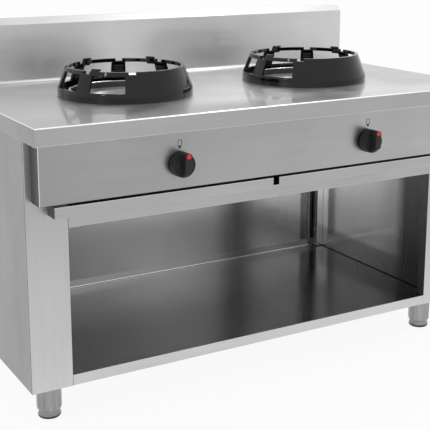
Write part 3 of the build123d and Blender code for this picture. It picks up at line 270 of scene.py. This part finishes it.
wall = ring_wall()
print("ring wall faces:", len(wall[1]))

# %% Curled lugs and ribbed pads
def sweep_band(path, thickness, width, edge):
    """A band that follows a path in the radial plane: local x outward, y along the rim, z up.

    The section is a rounded rectangle, thickness across the path and width along the rim.
    """
    path = np.asarray(path, float)
    along = np.gradient(path, axis=0)
    along /= np.linalg.norm(along, axis=1)[:, None]
    across = np.c_[along[:, 1], -along[:, 0]]
    section = rounded_rectangle(thickness, width, edge, 4)
    count = len(section)
    x = path[:, None, 0] + across[:, None, 0] * section[None, :, 0]
    z = path[:, None, 1] + across[:, None, 1] * section[None, :, 0]
    y = np.broadcast_to(section[None, :, 1], x.shape)
    points = np.stack([x, y, z], axis=-1).reshape(-1, 3)
    i = np.arange(count)
    j = (i + 1) % count
    rows = np.arange(len(path) - 1)[:, None] * count
    quads = np.stack([rows + i, rows + count + i, rows + count + j, rows + j], axis=-1).reshape(-1, 4)
    first, last = np.array([path[0, 0], 0, path[0, 1]]), np.array([path[-1, 0], 0, path[-1, 1]])
    points = np.vstack([points, first, last])
    end = (len(path) - 1) * count
    tris = np.vstack([np.c_[i, j, np.full(count, len(points) - 2)],
                      np.c_[end + j, end + i, np.full(count, len(points) - 1)]])
    return points, quads, tris


LUG_THICK, LUG_WIDTH, LUG_CORNER = 5.0 * MM, 27.0 * MM, 1.6 * MM
LUG_STEM = RIM_RADIUS - 3.4 * MM    # radius at which the tongue stands
LUG_CURL = 5.4 * MM                 # radius of its curl
CURL_LEVEL = 85.6 * MM
PAD_HALF_WIDTH, PAD_HALF_HEIGHT = 17.0 * MM, 19.5 * MM
PAD_LEVEL = 48.5 * MM


def lug():
    """Tongue that stands on the rim and curls inwards."""
    t = np.linspace(0, 1, 9)[:, None]
    stem = np.hstack([np.full((9, 1), LUG_STEM), (70 + 15 * t) * MM])
    a = np.linspace(0, 2.4, 10)[:, None]
    centre = np.array([LUG_STEM - LUG_CURL, CURL_LEVEL])
    curl = centre + LUG_CURL * np.hstack([np.cos(a), np.sin(a)])
    return sweep_band(np.vstack([stem, curl]), LUG_THICK, LUG_WIDTH, LUG_CORNER)


def pad():
    """Rib block on the inside of a pillar: depth = edge * (body + rib * sin^2)."""
    u, v = np.linspace(-1, 1, 33), np.linspace(-1, 1, 73)
    uu, vv = np.meshgrid(u, v, indexing="ij")
    edge = np.clip((1 - np.abs(uu) ** 8) * (1 - np.abs(vv) ** 14), 0, 1) ** 0.4
    inside = np.clip((0.82 - np.abs(uu)) / 0.08, 0, 1)
    ribs = np.sin(vv * np.pi * 2.5) ** 2 * inside
    depth = edge * (5.2 + 2.4 * ribs) * MM
    level = PAD_LEVEL + PAD_HALF_HEIGHT * vv
    radius = cone_radius(level) - WALL + 0.5 * MM - depth
    points = np.stack([radius, uu * PAD_HALF_WIDTH, level], axis=-1).reshape(-1, 3)
    rows, columns = len(u), len(v)
    i, k = np.meshgrid(np.arange(rows - 1), np.arange(columns - 1), indexing="ij")
    a = (i * columns + k).ravel()
    quads = np.c_[a, a + 1, a + columns + 1, a + columns]
    return points, quads, np.empty((0, 3), int)


def turned(part, degrees):
    return placed(part, Matrix.Rotation(math.radians(degrees), 4, "Z"))


extras = [turned(lug(), angle) for angle in LUG_ANGLES] + [turned(pad(), PILLAR * k) for k in PAD_PILLARS]
print("lugs and pads:", len(extras))

# %% Place the rings
rings = {}
for side, x in BURNER_X.items():
    turn = Matrix.Rotation(math.radians(FIRST_PILLAR[side]), 4, "Z")
    place = Matrix.Translation((x, 0, WORKTOP)) @ turn
    ring = make_mesh(f"pan_ring_{side}", *placed(wall, place), smooth_angle=32)
    bevel(ring, 0.9 * MM, 2)
    detail = make_mesh(f"pan_ring_lugs_{side}", *placed(merge(extras), place))
    for piece in (ring, detail):
        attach(piece, f"wok_ring_{side}")
    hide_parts(f"wok_ring_{side}")
    rings[side] = (ring, detail)
print("rings placed:", len(rings))

# %% [markdown]
# ## The knobs
#
# A moulded black knob: a low drum with a grip bar across its face. The bar's upper end
# carries a red spot and runs back over the drum as a pointer; its lower end slopes down to the
# face. The drum is one profile turned about the knob's axis. The bar is a stack of rounded
# outlines whose ends move from level to level. Both are computed facing +Z and then turned to
# face the front.

# %% Knob forms
KNOB_LEVEL = 704.0 * MM
PANEL_Y = -342.0 * MM
KNOB_BACK = PANEL_Y - 4.0 * MM
GRIP_FRONT = 49.5 * MM


def lathe(profile, count=128):
    """Surface of revolution about Z: (r cos a, r sin a, h) for each (r, h) of the profile."""
    profile = np.asarray(profile, float)
    a = np.arange(count) * 2 * np.pi / count
    points = np.stack([np.outer(np.cos(a), profile[:, 0]), np.outer(np.sin(a), profile[:, 0]),
                       np.tile(profile[:, 1], (count, 1))], axis=-1).reshape(-1, 3)
    levels = len(profile)
    i, k = np.meshgrid(np.arange(count), np.arange(levels - 1), indexing="ij")
    n = (i + 1) % count
    quads = np.stack([i * levels + k, n * levels + k, n * levels + k + 1, i * levels + k + 1], axis=-1)
    return points, quads.reshape(-1, 4), np.empty((0, 3), int)


def stack(levels):
    """Loft of rounded rectangles: rows of (height, half width, low end, high end, corner)."""
    rings = []
    for height, half, low, high, corner in levels:
        outline = rounded_rectangle(2 * half, high - low, corner) + (0, (high + low) / 2)
        rings.append(np.c_[outline, np.full(len(outline), height)])
    count = len(rings[0])
    middle = [[0, (row[2] + row[3]) / 2, row[0]] for row in (levels[0], levels[-1])]
    points = np.vstack(rings + [middle])
    i = np.arange(count)
    j = (i + 1) % count
    quads = np.vstack([np.c_[k * count + i, k * count + j, (k + 1) * count + j, (k + 1) * count + i]
                       for k in range(len(levels) - 1)])
    low, last = len(levels) * count, (len(levels) - 1) * count
    tris = np.vstack([np.c_[j, i, np.full(count, low)], np.c_[last + i, last + j, np.full(count, low + 1)]])
    return points, quads, tris


knob_profile = np.array([
    (4.2, 12.0), (9.0, 12.0), (9.0, 0.6), (9.6, 0.0), (10.4, 0.6), (10.4, 14.0), (29.5, 14.0),
    (30.6, 1.2), (31.4, 0.0), (33.6, 0.0), (34.3, 0.4), (34.5, 1.2), (34.4, 7.6), (34.1, 8.2),
    (33.9, 8.4), (33.9, 9.2), (34.1, 9.5), (33.8, 18.0), (33.5, 22.6), (33.0, 24.1), (31.9, 24.9),
    (30.4, 25.0), (29.6, 24.6), (28.9, 24.2), (26.0, 24.1), (12.0, 24.4), (0.2, 24.5),
]) * MM
quarter = np.linspace(0, np.pi / 2, 6)
nose = np.c_[49.5 - 2 + 2 * np.sin(quarter), 10 - 2 + 2 * np.cos(quarter)]
grip_rows = [(23.0, 10.0, -31.5, 36.0, 6.2), (25.0, 10.0, -31.0, 36.0, 6.2), (36.0, 9.9, -25.0, 36.0, 6.2)]
grip_rows += [(height, half, -25.0 + (height - 36.0) * 0.60 + 0.35 * (10 - half), 26.0 + half,
               6.2 - 0.9 * (10 - half)) for height, half in nose]
tab_rows = [(1.8, 9.2, 14.0, 35.2, 5.4), (2.6, 9.8, 14.0, 35.8, 6.0), (4.0, 10.0, 14.0, 36.0, 6.2),
            (24.0, 10.0, 14.0, 36.0, 6.2)]
grip, tab = stack(np.array(grip_rows) * MM), stack(np.array(tab_rows) * MM)
to_front = Matrix.Rotation(math.radians(90), 4, "X")
print("knob profile points:", len(knob_profile), "grip faces:", len(grip[1]))

# %% Place the knobs and the red spots
SPOT_RISE = 29.0 * MM
for side, x in BURNER_X.items():
    place = Matrix.Translation((x, KNOB_BACK, KNOB_LEVEL)) @ to_front
    knob = make_mesh(f"knob_body_{side}", *placed(merge([lathe(knob_profile), grip, tab]), place),
                     smooth_angle=38)
    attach(knob, f"knob_{side}")
    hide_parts(f"knob_{side}")
    spot = prism(rounded_rectangle(13 * MM, 13 * MM, 6.49 * MM, 12),
                 [(0, 0), (0, 0.55 * MM), (0.5 * MM, 0.9 * MM), (4.4 * MM, 1.0 * MM), (4.8 * MM, 0.8 * MM)])
    spot_place = place @ Matrix.Translation((0, SPOT_RISE, GRIP_FRONT - 0.5 * MM))
    dot = make_mesh(f"red_spot_{side}", *placed(spot, spot_place))
    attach(dot, f"knob_{side}")
    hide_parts(f"knob_spot_{side}")
print("knobs placed")

# %% [markdown]
# ## Print on the control panel
#
# Over each knob stands a small index mark, an upright rounded outline with a filled dot under
# it. Print has almost no thickness, so each mark is a prism a tenth of a millimetre high.

# %% Index marks
MARK_LEVEL = 761.5 * MM
INK = 0.12 * MM


def outline_band(width, height, radius, stroke):
    """Flat ring between two rounded outlines, with a top face and outer and inner edges."""
    outer = rounded_rectangle(width, height, radius)
    inner = rounded_rectangle(width - 2 * stroke, height - 2 * stroke, max(radius - stroke, stroke / 4))
    count = len(outer)
    points = np.vstack([np.c_[loop, np.full(count, level)] for loop, level in
                        ((outer, 0.0), (outer, INK), (inner, INK), (inner, 0.0))])
    i = np.arange(count)
    j = (i + 1) % count
    quads = np.vstack([np.c_[k * count + i, k * count + j, (k + 1) * count + j, (k + 1) * count + i]
                       for k in range(3)])
    return points, quads, np.empty((0, 3), int)


marks = []
for side, x in BURNER_X.items():
    place = Matrix.Translation((x, PANEL_Y, MARK_LEVEL)) @ to_front
    dot = prism(rounded_rectangle(7.4 * MM, 7.4 * MM, 3.69 * MM), [(0, 0), (0, INK)])
    dot_place = place @ Matrix.Translation((0, -10.8 * MM, 0))
    mark = merge([placed(outline_band(13 * MM, 18 * MM, 3.6 * MM, 1.7 * MM), place), placed(dot, dot_place)])
    obj = make_mesh(f"index_mark_{side}", *mark)
    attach(obj, "frame")
    marks.append(obj)
print("index marks:", len(marks))

# %% [markdown]
# ## Finishes
#
# A finish is a small network of nodes. The helper below keeps the writing short: it makes a
# node, sets its values and links its inputs. Positions come from object coordinates, which
# stay with a piece when it moves.

# %% Node helper
class Finish:
    """A material under construction, with shortcuts for the nodes used in this lesson."""

    def __init__(self, name):
        self.material = bpy.data.materials.new(name)
        self.material.use_nodes = True
        self.tree = self.material.node_tree
        self.shader = self.tree.nodes["Principled BSDF"]
        self.coords = self.tree.nodes.new("ShaderNodeTexCoord").outputs["Object"]

    def node(self, kind, inputs=None, **settings):
        made = self.tree.nodes.new("ShaderNode" + kind)
        for key, value in settings.items():
            setattr(made, key, value)
        for key, value in (inputs or {}).items():
            if isinstance(value, bpy.types.NodeSocket):
                self.tree.links.new(value, made.inputs[key])
            else:
                made.inputs[key].default_value = value
        return made

    def noise(self, scale, detail=3.0, stretch=(1, 1, 1), roughness=0.5):
        """Cloudy pattern; a small stretch along an axis draws it out into streaks."""
        vector = self.node("Mapping", {"Vector": self.coords, "Scale": stretch}).outputs["Vector"]
        return self.node("TexNoise", {"Vector": vector, "Scale": scale, "Detail": detail,
                                      "Roughness": roughness}).outputs["Fac"]

    def ramp(self, value, low, high, from_low=0.3, from_high=0.7):
        """Map a 0..1 pattern onto low..high."""
        return self.node("MapRange", {"Value": value, "From Min": from_low, "From Max": from_high,
                                      "To Min": low, "To Max": high}).outputs["Result"]

    def mix(self, factor, one, two):
        made = self.node("Mix", data_type="RGBA")
        for key, value in ((0, factor), (6, one), (7, two)):
            if isinstance(value, bpy.types.NodeSocket):
                self.tree.links.new(value, made.inputs[key])
            else:
                made.inputs[key].default_value = value
        return made.outputs[2]

    def math(self, operation, one, two=0.0):
        return self.node("Math", {0: one, 1: two}, operation=operation).outputs[0]

    def bump(self, height, strength, distance, under=None):
        inputs = {"Height": height, "Strength": strength, "Distance": distance}
        if under is not None:
            inputs["Normal"] = under
        return self.node("Bump", inputs).outputs["Normal"]

    def set(self, **values):
        """Write or link the shader's own sockets; underscores stand for spaces."""
        for key, value in values.items():
            socket = self.shader.inputs[key.replace("_", " ")]
            if isinstance(value, bpy.types.NodeSocket):
                self.tree.links.new(value, socket)
            else:
                socket.default_value = value
        return self


def grey(value, warm=0.0):
    """Linear grey with a trace of warmth."""
    return (value * (1 + warm), value, value * (1 - warm), 1.0)


print("node helper ready")

# %% [markdown]
# ### Brushed stainless sheet
#
# Stainless sheet is ground along one direction. Up close that is a mass of hair-thin
# scratches; from a distance it reads as a blurred mirror with faint streaks and soft clouds
# where the sheet isn't quite flat. So the finish has four layers: hair lines, wider streaks,
# slow waves in the surface, and a few wiped smears in the gloss. A sheet isn't one grey all
# over: it looks paler on its bends, and darker at its ends and deep in the compartment,
# because of what it mirrors there. Plain light brings out only part of that, so zones along
# an axis paint the rest into the sheet's own tone: painted highlights on bends and edges,
# painted shade on ends and deep in the compartment, and painted reflections.

# %% Brushed sheet
def brushed(name, base, gloss, grain=(0, 1, 1), wave=0.35, streak=0.03, zones=()):
    """Ground sheet; grain holds 0 along the grinding direction and 1 across it.

    Each zone is (axis, start, end, base, gloss): between start and end along that axis the
    sheet changes over to the zone's own base and gloss, and keeps them beyond the end. Most
    zones paint highlights, shade and reflections into the base colour.
    """
    f = Finish(name)
    places = f.node("SeparateXYZ", {"Vector": f.coords}).outputs
    for axis, start, end, zone_base, zone_gloss in zones:
        base = f.ramp(places[axis], base, zone_base, start, end)
        gloss = f.ramp(places[axis], gloss, zone_gloss, start, end)
    fine = tuple(0.02 if g == 0 else 1.0 for g in grain)
    wide = tuple(0.06 if g == 0 else 1.0 for g in grain)
    hairs = f.noise(900.0, 2.0, fine)
    streaks = f.noise(60.0, 4.0, wide, 0.65)
    clouds = f.noise(3.2, 3.0)
    smears = f.noise(9.0, 5.0, (1.0, 1.0, 0.5), 0.6)
    thin, broad = 0.45 * streak, 0.9 * streak
    tone = f.math("ADD", f.ramp(hairs, -thin, thin), f.ramp(streaks, -broad, broad))
    level = f.math("ADD", f.math("ADD", f.ramp(clouds, -0.036, 0.036), tone), 1.0)
    rough = f.math("MULTIPLY", f.ramp(smears, 0.86, 1.2), gloss)
    rough = f.math("ADD", rough, f.ramp(hairs, -0.02, 0.02))
    slow = f.bump(f.noise(2.3, 1.0), wave, 4.0 * MM)
    lines = f.bump(hairs, 0.05, 0.2 * MM, slow)
    f.set(Base_Color=f.math("MULTIPLY", level, base), Roughness=rough, Metallic=1.0, Normal=lines)
    return f.material


ALONG_X, UPRIGHT = (0, 1, 1), (1, 1, 0)     # directions in which sheets are ground
print("brushed sheet ready")

# %% Where the painted tones change
LIFT = WORKTOP + 2 * MM                     # the upstand starts above this level
EDGE_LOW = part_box("worktop")[0][2]
TOP_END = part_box("worktop")[1][0] - 1.2 * MM
PANEL_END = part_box("control_panel")[1][0] - 0.8 * MM
STRIP_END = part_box("drip_tray")[1][0] - 0.8 * MM
STRIP_LOW, STRIP_TOP = (corner[2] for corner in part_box("drip_tray"))
RAIL_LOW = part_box("front_rail")[0][2]
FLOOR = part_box("inner_wall_right")[0][2]    # the shelf's upper face
STILE_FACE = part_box("side_panel_left")[0][1]
SHELF_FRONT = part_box("shelf")[0][1]
POST_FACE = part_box("rear_post_right")[0][1]
BACK_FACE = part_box("back_panel")[0][1]
COLLAR_TOP = WORKTOP + 16 * MM              # the painted highlight on the bowl's rim starts here
# Near-black band along the foot of the inner walls and the rear post, where they meet the shelf.
SEAM = ("Z", FLOOR + 2.8 * MM, FLOOR + 2.2 * MM, 0.02, 0.5)


def both_ends(place, base, gloss, width=0.4 * MM):
    """Zones past the same distance to the left and to the right of the middle."""
    return [("X", -place, -place - width, base, gloss), ("X", place, place + width, base, gloss)]


print("compartment floor:", round(FLOOR, 3), "strip:", round(STRIP_LOW, 3), "to", round(STRIP_TOP, 3))

# %% Outer sheets
finishes = {
    # Worktop: painted reflections change its tone along its length and towards the front; a painted
    # highlight runs along the top bend and the bottom edge, painted shade lies on the front face and the end
    # faces, and the upstand from LIFT up has a tone of its own for what it mirrors.
    "worktop": brushed("worktop_steel", 0.60, 0.38, ALONG_X, 0.22, zones=[
        ("X", -0.6, -0.05, 0.95, 0.36), ("X", 0.15, 0.55, 0.31, 0.40),
        ("Y", -0.24, -0.34, 0.52, 0.38),
        ("Z", WORKTOP - 0.2 * MM, WORKTOP - 0.7 * MM, 1.0, 0.30),
        ("Z", WORKTOP - 2.6 * MM, WORKTOP - 3.4 * MM, 0.38, 0.36),
        ("Z", EDGE_LOW + 2.2 * MM, EDGE_LOW + 1.4 * MM, 0.70, 0.30),
        *both_ends(TOP_END, 0.20, 0.36, 0.8 * MM),
        ("Z", LIFT, LIFT + 3 * MM, 0.60, 0.42)]),
    "cover": brushed("cover_steel", 0.42, 0.36, ALONG_X, 0.15),
    # Control panel: a painted gradient, lighter towards the right; a painted highlight on the bends by its
    # ends and painted shade on its end faces.
    "front": brushed("front_steel", 0.33, 0.34, ALONG_X, 0.12, zones=[
        ("X", -0.7, 0.6, 0.43, 0.34), *both_ends(PANEL_END - 2 * MM, 0.75, 0.3),
        *both_ends(PANEL_END, 0.10, 0.36)]),
    # Drip tray strip: painted highlights along its top and bottom edges and painted shade on its end faces.
    "strip": brushed("strip_steel", 0.42, 0.34, ALONG_X, 0.12, zones=[
        ("Z", STRIP_TOP - 2.2 * MM, STRIP_TOP - 1.6 * MM, 0.78, 0.3),
        ("Z", STRIP_LOW + 2.0 * MM, STRIP_LOW + 1.4 * MM, 0.72, 0.3),
        *both_ends(STRIP_END, 0.12, 0.36)]),
    # Front rail: a painted highlight along its bottom edge.
    "rail": brushed("rail_steel", 0.42, 0.34, ALONG_X, 0.12, zones=[
        ("Z", RAIL_LOW + 2.2 * MM, RAIL_LOW + 1.6 * MM, 0.75, 0.3)]),
    # Side panels: painted light, lighter towards the bottom; a painted dark line of shade along the bend
    # between stile and side, and painted shade on the side face.
    "side": brushed("side_steel", 0.60, 0.32, UPRIGHT, 0.15, zones=[
        ("Z", 0.1, 0.62, 0.45, 0.34),
        ("Y", STILE_FACE + 0.9 * MM, STILE_FACE + 1.4 * MM, 0.12, 0.36),
        ("Y", STILE_FACE + 2.7 * MM, STILE_FACE + 3.4 * MM, 0.30, 0.36)]),
}
print("outer sheet finishes:", len(finishes))

# %% Sheets of the compartment, bowls and legs
finishes.update({
    # Inner walls: painted reflections make them paler upwards and darker towards the front.
    "wall": brushed("wall_steel", 0.55, 0.24, UPRIGHT, 0.45, zones=[
        ("Z", 0.205, 0.225, 1.0, 0.14), ("Z", 0.29, 0.31, 0.95, 0.18),
        ("Y", -0.085, -0.135, 0.24, 0.24), SEAM]),
    # Back panel: painted reflections in bands across it, with a dark stripe, a narrow painted highlight and
    # a narrow strip of painted shade near the right end; the sheet behind its front face has a plain tone.
    "back": brushed("back_steel", 0.20, 0.20, UPRIGHT, 0.45, zones=[
        ("X", -0.5, -0.05, 0.40, 0.20), ("X", 0.19, 0.24, 0.34, 0.20), ("X", 0.29, 0.36, 0.54, 0.20),
        ("X", 0.570, 0.578, 0.20, 0.26), ("X", 0.6115, 0.6135, 0.85, 0.20),
        ("X", 0.6165, 0.6185, 0.12, 0.26),
        ("Y", BACK_FACE + 0.5 * MM, BACK_FACE + 1.0 * MM, 0.42, 0.26)]),
    # Rear post: painted shade on its sides, behind the paler front face.
    "post": brushed("post_steel", 0.64, 0.20, UPRIGHT, 0.3, zones=[
        ("Y", POST_FACE + 1.6 * MM, POST_FACE + 2.4 * MM, 0.20, 0.26), SEAM]),
    # Shelf: painted reflection, darker towards the right; a painted highlight along the bends of its raised
    # edges and along its front edge.
    "shelf": brushed("shelf_steel", 0.46, 0.18, ALONG_X, 0.35, zones=[
        ("X", -0.45, -0.25, 0.50, 0.18), ("X", -0.05, 0.35, 0.20, 0.18),
        ("Z", FLOOR + 0.3 * MM, FLOOR + 1.0 * MM, 0.95, 0.2),
        ("Z", FLOOR + 3.0 * MM, FLOOR + 4.0 * MM, 0.42, 0.2),
        ("Y", SHELF_FRONT + 2.6 * MM, SHELF_FRONT + 1.6 * MM, 0.60, 0.32)]),
    # Burner bowl: nearly black from the worktop level up; a painted highlight on its rim from COLLAR_TOP up.
    "bowl": brushed("bowl_steel", 0.26, 0.30, (0, 0, 1), 0.3, zones=[
        ("Z", WORKTOP - 3 * MM, WORKTOP - 1 * MM, 0.055, 0.30),
        ("Z", COLLAR_TOP - 0.4 * MM, COLLAR_TOP + 0.4 * MM, 0.95, 0.20)]),
    "inner": brushed("inner_steel", 0.46, 0.24, UPRIGHT, 0.3),
    "leg": brushed("leg_steel", 0.31, 0.28, UPRIGHT, 0.1, 0.35),
})
# A clear gloss layer stands in for the polish in which the worktop mirrors the rings.
worktop_shader = finishes["worktop"].node_tree.nodes["Principled BSDF"]
worktop_shader.inputs["Coat Weight"].default_value = 0.75
worktop_shader.inputs["Coat Roughness"].default_value = 0.05
print("sheet finishes:", len(finishes))

# %% [markdown]
# ### Enamel, castings, plastic and brass
#
# The rings wear black glass enamel over iron: a dark body under a hard clear coat, with a
# faint orange-peel from the casting. Burner castings stay bare and rough. The knobs are
# moulded with a fine satin grain. Taps and pipes show drawn or machined yellow metal with
# a little tarnish.

# %% Other finishes
def enamel(name):
    f = Finish(name)
    peel = f.noise(220.0, 2.0)
    cast = f.noise(45.0, 4.0)
    dust = f.noise(30.0, 6.0, (1, 1, 2), 0.7)
    colour = f.mix(f.ramp(dust, 0, 1, 0.5, 0.9), grey(0.002), grey(0.007))
    f.set(Base_Color=colour, Roughness=f.ramp(cast, 0.03, 0.07), IOR=1.41,
          Normal=f.bump(cast, 0.05, 0.5 * MM, f.bump(peel, 0.03, 0.15 * MM)))
    return f.material


def casting(name, base, rust=0.0):
    f = Finish(name)
    grain = f.noise(420.0, 4.0)
    clouds = f.noise(25.0, 4.0)
    colour = f.mix(f.ramp(clouds, 0, 1), grey(base * 0.7, 0.05), grey(base * 1.3, 0.08 + rust))
    f.set(Base_Color=colour, Roughness=f.ramp(clouds, 0.55, 0.8), Metallic=0.55,
          Normal=f.bump(grain, 0.35, 0.4 * MM))
    return f.material


def moulded(name, colour_one, colour_two, rough):
    f = Finish(name)
    grain = f.noise(1500.0, 2.0)
    clouds = f.noise(40.0, 4.0)
    f.set(Base_Color=f.mix(f.ramp(clouds, 0, 1), colour_one, colour_two),
          Roughness=f.ramp(clouds, rough * 0.9, rough * 1.15), IOR=1.35,
          Normal=f.bump(grain, 0.12, 0.1 * MM))
    return f.material


def yellow_metal(name, colour, tarnish, rough):
    f = Finish(name)
    clouds = f.noise(70.0, 5.0, roughness=0.65)
    lines = f.noise(1200.0, 2.0, (1, 0.05, 1))
    f.set(Base_Color=f.mix(f.ramp(clouds, 0, 1, 0.4, 0.75), colour, tarnish), Metallic=1.0,
          Roughness=f.ramp(clouds, rough, rough * 1.6), Normal=f.bump(lines, 0.08, 0.1 * MM))
    return f.material


finishes.update(
    enamel=enamel("black_enamel"),
    iron=casting("bare_casting", 0.09),
    zinc=casting("galvanised_sheet", 0.42),
    knob=moulded("black_plastic", grey(0.012), grey(0.022), 0.42),
    red=moulded("red_plastic", (0.80, 0.02, 0.015, 1), (0.90, 0.05, 0.04, 1), 0.35),
    ink=moulded("printed_ink", grey(0.012), grey(0.02), 0.5),
    brass=yellow_metal("machined_brass", (0.72, 0.53, 0.25, 1), (0.42, 0.30, 0.15, 1), 0.25),
    copper=yellow_metal("copper_pipe", (0.75, 0.40, 0.26, 1), (0.38, 0.20, 0.13, 1), 0.28),
    pipe=yellow_metal("steel_pipe", grey(0.45), grey(0.30), 0.38),
)
print("finishes:", sorted(finishes))

# %% [markdown]
# ### The feet
#
# A foot is one turned piece: bright metal above, and a black plastic sole at the floor. The
# height in object coordinates decides which of the two a point belongs to.

# %% Feet
SOLE_TOP = 7.5 * MM


def foot_finish():
    f = Finish("foot_metal_and_sole")
    height = f.node("SeparateXYZ", {"Vector": f.coords}).outputs["Z"]
    metal = f.ramp(height, 0.0, 1.0, SOLE_TOP - 0.3 * MM, SOLE_TOP + 0.3 * MM)
    turning = f.noise(600.0, 2.0, (0.03, 0.03, 1))
    bright = f.mix(f.ramp(turning, 0, 1), grey(0.20), grey(0.34))
    f.set(Base_Color=f.mix(metal, grey(0.012), bright), Metallic=metal,
          Roughness=f.ramp(metal, 0.5, 0.26, 0, 1), Normal=f.bump(turning, 0.1, 0.1 * MM))
    return f.material


finishes["foot"] = foot_finish()
print("foot finish made")

# %% Give every engineering node its finish
FINISH_OF = {
    "worktop": "worktop", "splash_cover": "cover", "control_panel": "front", "back_panel": "back",
    "shelf": "shelf", "front_rail": "rail", "drip_tray": "strip", "manifold": "pipe",
    "inlet_fitting": "brass", "manifold_clips": "zinc", "panel_screws": "pipe", "leg_bolts": "pipe",
    "side_panel": "side", "inner_wall": "wall", "rear_post": "post", "base_channel": "zinc",
    "tray_runner": "inner", "burner_bowl": "bowl", "burner_head": "iron", "burner_bracket": "zinc",
    "burner": "iron", "pilot_burner": "brass", "pilot_pipe": "copper", "thermocouple": "copper",
    "tap": "brass", "tap_stem": "brass", "tap_washer": "brass", "feed_pipe": "copper",
    "injector": "brass", "leg": "leg", "foot": "foot",
    "wok_ring": "enamel", "knob": "knob", "knob_spot": "red",
}


def finish_of(node_name):
    """Longest key that starts the node's name."""
    fits = [key for key in FINISH_OF if node_name == key or node_name.startswith(key + "_")]
    return finishes[FINISH_OF[max(fits, key=len)]]


def dress(obj, material):
    obj.data.materials.clear()
    obj.data.materials.append(material)


for name, obj in nodes.items():
    dress(obj, finish_of(name))
for pair in rings.values():
    for obj in pair:
        dress(obj, finishes["enamel"])
for obj in bpy.context.scene.objects:
    if obj.name.startswith("knob_body"):
        dress(obj, finishes["knob"])
    if obj.name.startswith("red_spot"):
        dress(obj, finishes["red"])
for obj in marks:
    dress(obj, finishes["ink"])
print("dressed nodes:", len(nodes))

# %% [markdown]
# ## Camera
#
# The camera stands to the left of the range at eye height. Its place, turn and focal length
# were worked out from the straight edges in the photograph, in pixels of a 430 x 430 image.

# %% Camera
IMAGE_PX = 430
FOCAL_PX = 998.9
SENSOR = 36.0                       # millimetres
CAMERA_PLACE = (-1.5505, -2.6779, 1.3037)
CAMERA_YAW, CAMERA_PITCH = math.radians(29.84), math.radians(12.29)
camera_data = bpy.data.cameras.new("camera")
camera_data.sensor_width = SENSOR
camera_data.lens = FOCAL_PX / IMAGE_PX * SENSOR
camera_data.shift_y = -0.14
camera_data.clip_start, camera_data.clip_end = 0.1, 60.0
camera = bpy.data.objects.new("camera", camera_data)
bpy.context.scene.collection.objects.link(camera)
camera.location = CAMERA_PLACE
level = math.cos(CAMERA_PITCH)
forward = Vector((math.sin(CAMERA_YAW) * level, math.cos(CAMERA_YAW) * level, -math.sin(CAMERA_PITCH)))
camera.rotation_euler = forward.to_track_quat("-Z", "Y").to_euler()
bpy.context.scene.camera = camera
print("lens mm:", round(camera_data.lens, 2))

# %% [markdown]
# ## Light, floor and background
#
# Stainless steel looks like whatever it mirrors. The world is pale and grows lighter upwards.
# Two long soft lamps, one overhead and one at the left, lay gentle highlights on it. Rays
# straight from the camera, and mirror rays, see the world and the pale floor as a white studio
# sweep, while the floor keeps the object's shadow.

# %% World and lamps
WORLD_LOW, WORLD_HIGH = 0.70, 1.05
world = bpy.data.worlds.new("studio")
bpy.context.scene.world = world
world.use_nodes = True
tree = world.node_tree
background = tree.nodes["Background"]
direction = tree.nodes.new("ShaderNodeTexCoord")
split = tree.nodes.new("ShaderNodeSeparateXYZ")
upward = tree.nodes.new("ShaderNodeMapRange")
upward.inputs["From Min"].default_value = 0.0
upward.inputs["From Max"].default_value = 0.8
upward.inputs["To Min"].default_value = WORLD_LOW
upward.inputs["To Max"].default_value = WORLD_HIGH
rays = tree.nodes.new("ShaderNodeLightPath")
choose = tree.nodes.new("ShaderNodeMix")
tree.links.new(direction.outputs["Generated"], split.inputs["Vector"])
tree.links.new(split.outputs["Z"], upward.inputs["Value"])
seen = rays.outputs["Is Camera Ray"]
for kind in ("Is Glossy Ray", "Is Transmission Ray"):
    larger = tree.nodes.new("ShaderNodeMath")
    larger.operation = "MAXIMUM"
    tree.links.new(seen, larger.inputs[0])
    tree.links.new(rays.outputs[kind], larger.inputs[1])
    seen = larger.outputs[0]
tree.links.new(seen, choose.inputs[0])
tree.links.new(upward.outputs["Result"], choose.inputs[2])
choose.inputs[3].default_value = 1.0
tree.links.new(choose.outputs[0], background.inputs["Strength"])
background.inputs["Color"].default_value = (1, 1, 1, 1)


def soft_lamp(name, place, target, size, power):
    data = bpy.data.lights.new(name, "AREA")
    data.shape, data.size, data.size_y, data.energy = "RECTANGLE", size[0], size[1], power
    lamp = bpy.data.objects.new(name, data)
    bpy.context.scene.collection.objects.link(lamp)
    lamp.location = place
    lamp.rotation_euler = (Vector(target) - Vector(place)).to_track_quat("-Z", "Y").to_euler()
    return lamp


soft_lamp("overhead", (1.5, -0.3, 3.6), (0.8, -0.1, 0.85), (2.6, 0.2), 20)
soft_lamp("left_strip", (-2.8, -1.2, 2.5), (-0.2, 0, 0.9), (0.15, 1.2), 6)
print("world from", WORLD_LOW, "to", WORLD_HIGH)

# %% Floor
FLOOR_HALF = 30.0
FLOOR_DROP = 0.5 * MM               # just under the soles
WHITE_SHARE = 0.92                  # of the sight of the floor; the rest shows the shadow


def floor_material():
    f = Finish("studio_floor")
    cloud = f.noise(1.5, 3.0)
    f.set(Base_Color=f.mix(cloud, grey(0.76), grey(0.82)), Roughness=0.7)
    glow = f.node("Emission", {"Color": grey(1.0), "Strength": 1.0})
    sight = f.node("LightPath")
    seen = f.math("MAXIMUM", sight.outputs["Is Camera Ray"],
                  f.math("MAXIMUM", sight.outputs["Is Glossy Ray"], sight.outputs["Is Transmission Ray"]))
    share = f.math("MULTIPLY", seen, WHITE_SHARE)
    blend = f.node("MixShader", {0: share, 1: f.shader.outputs[0], 2: glow.outputs[0]})
    f.tree.links.new(blend.outputs[0], f.tree.nodes["Material Output"].inputs["Surface"])
    return f.material


corners = FLOOR_HALF * np.array([(-1, -1, 0), (1, -1, 0), (1, 1, 0), (-1, 1, 0)]) - (0, 0, FLOOR_DROP)
floor = make_mesh("floor", corners, [(0, 1, 2, 3)])
dress(floor, floor_material())
print("floor placed")

# %% View settings
bpy.context.scene.view_settings.view_transform = "Standard"
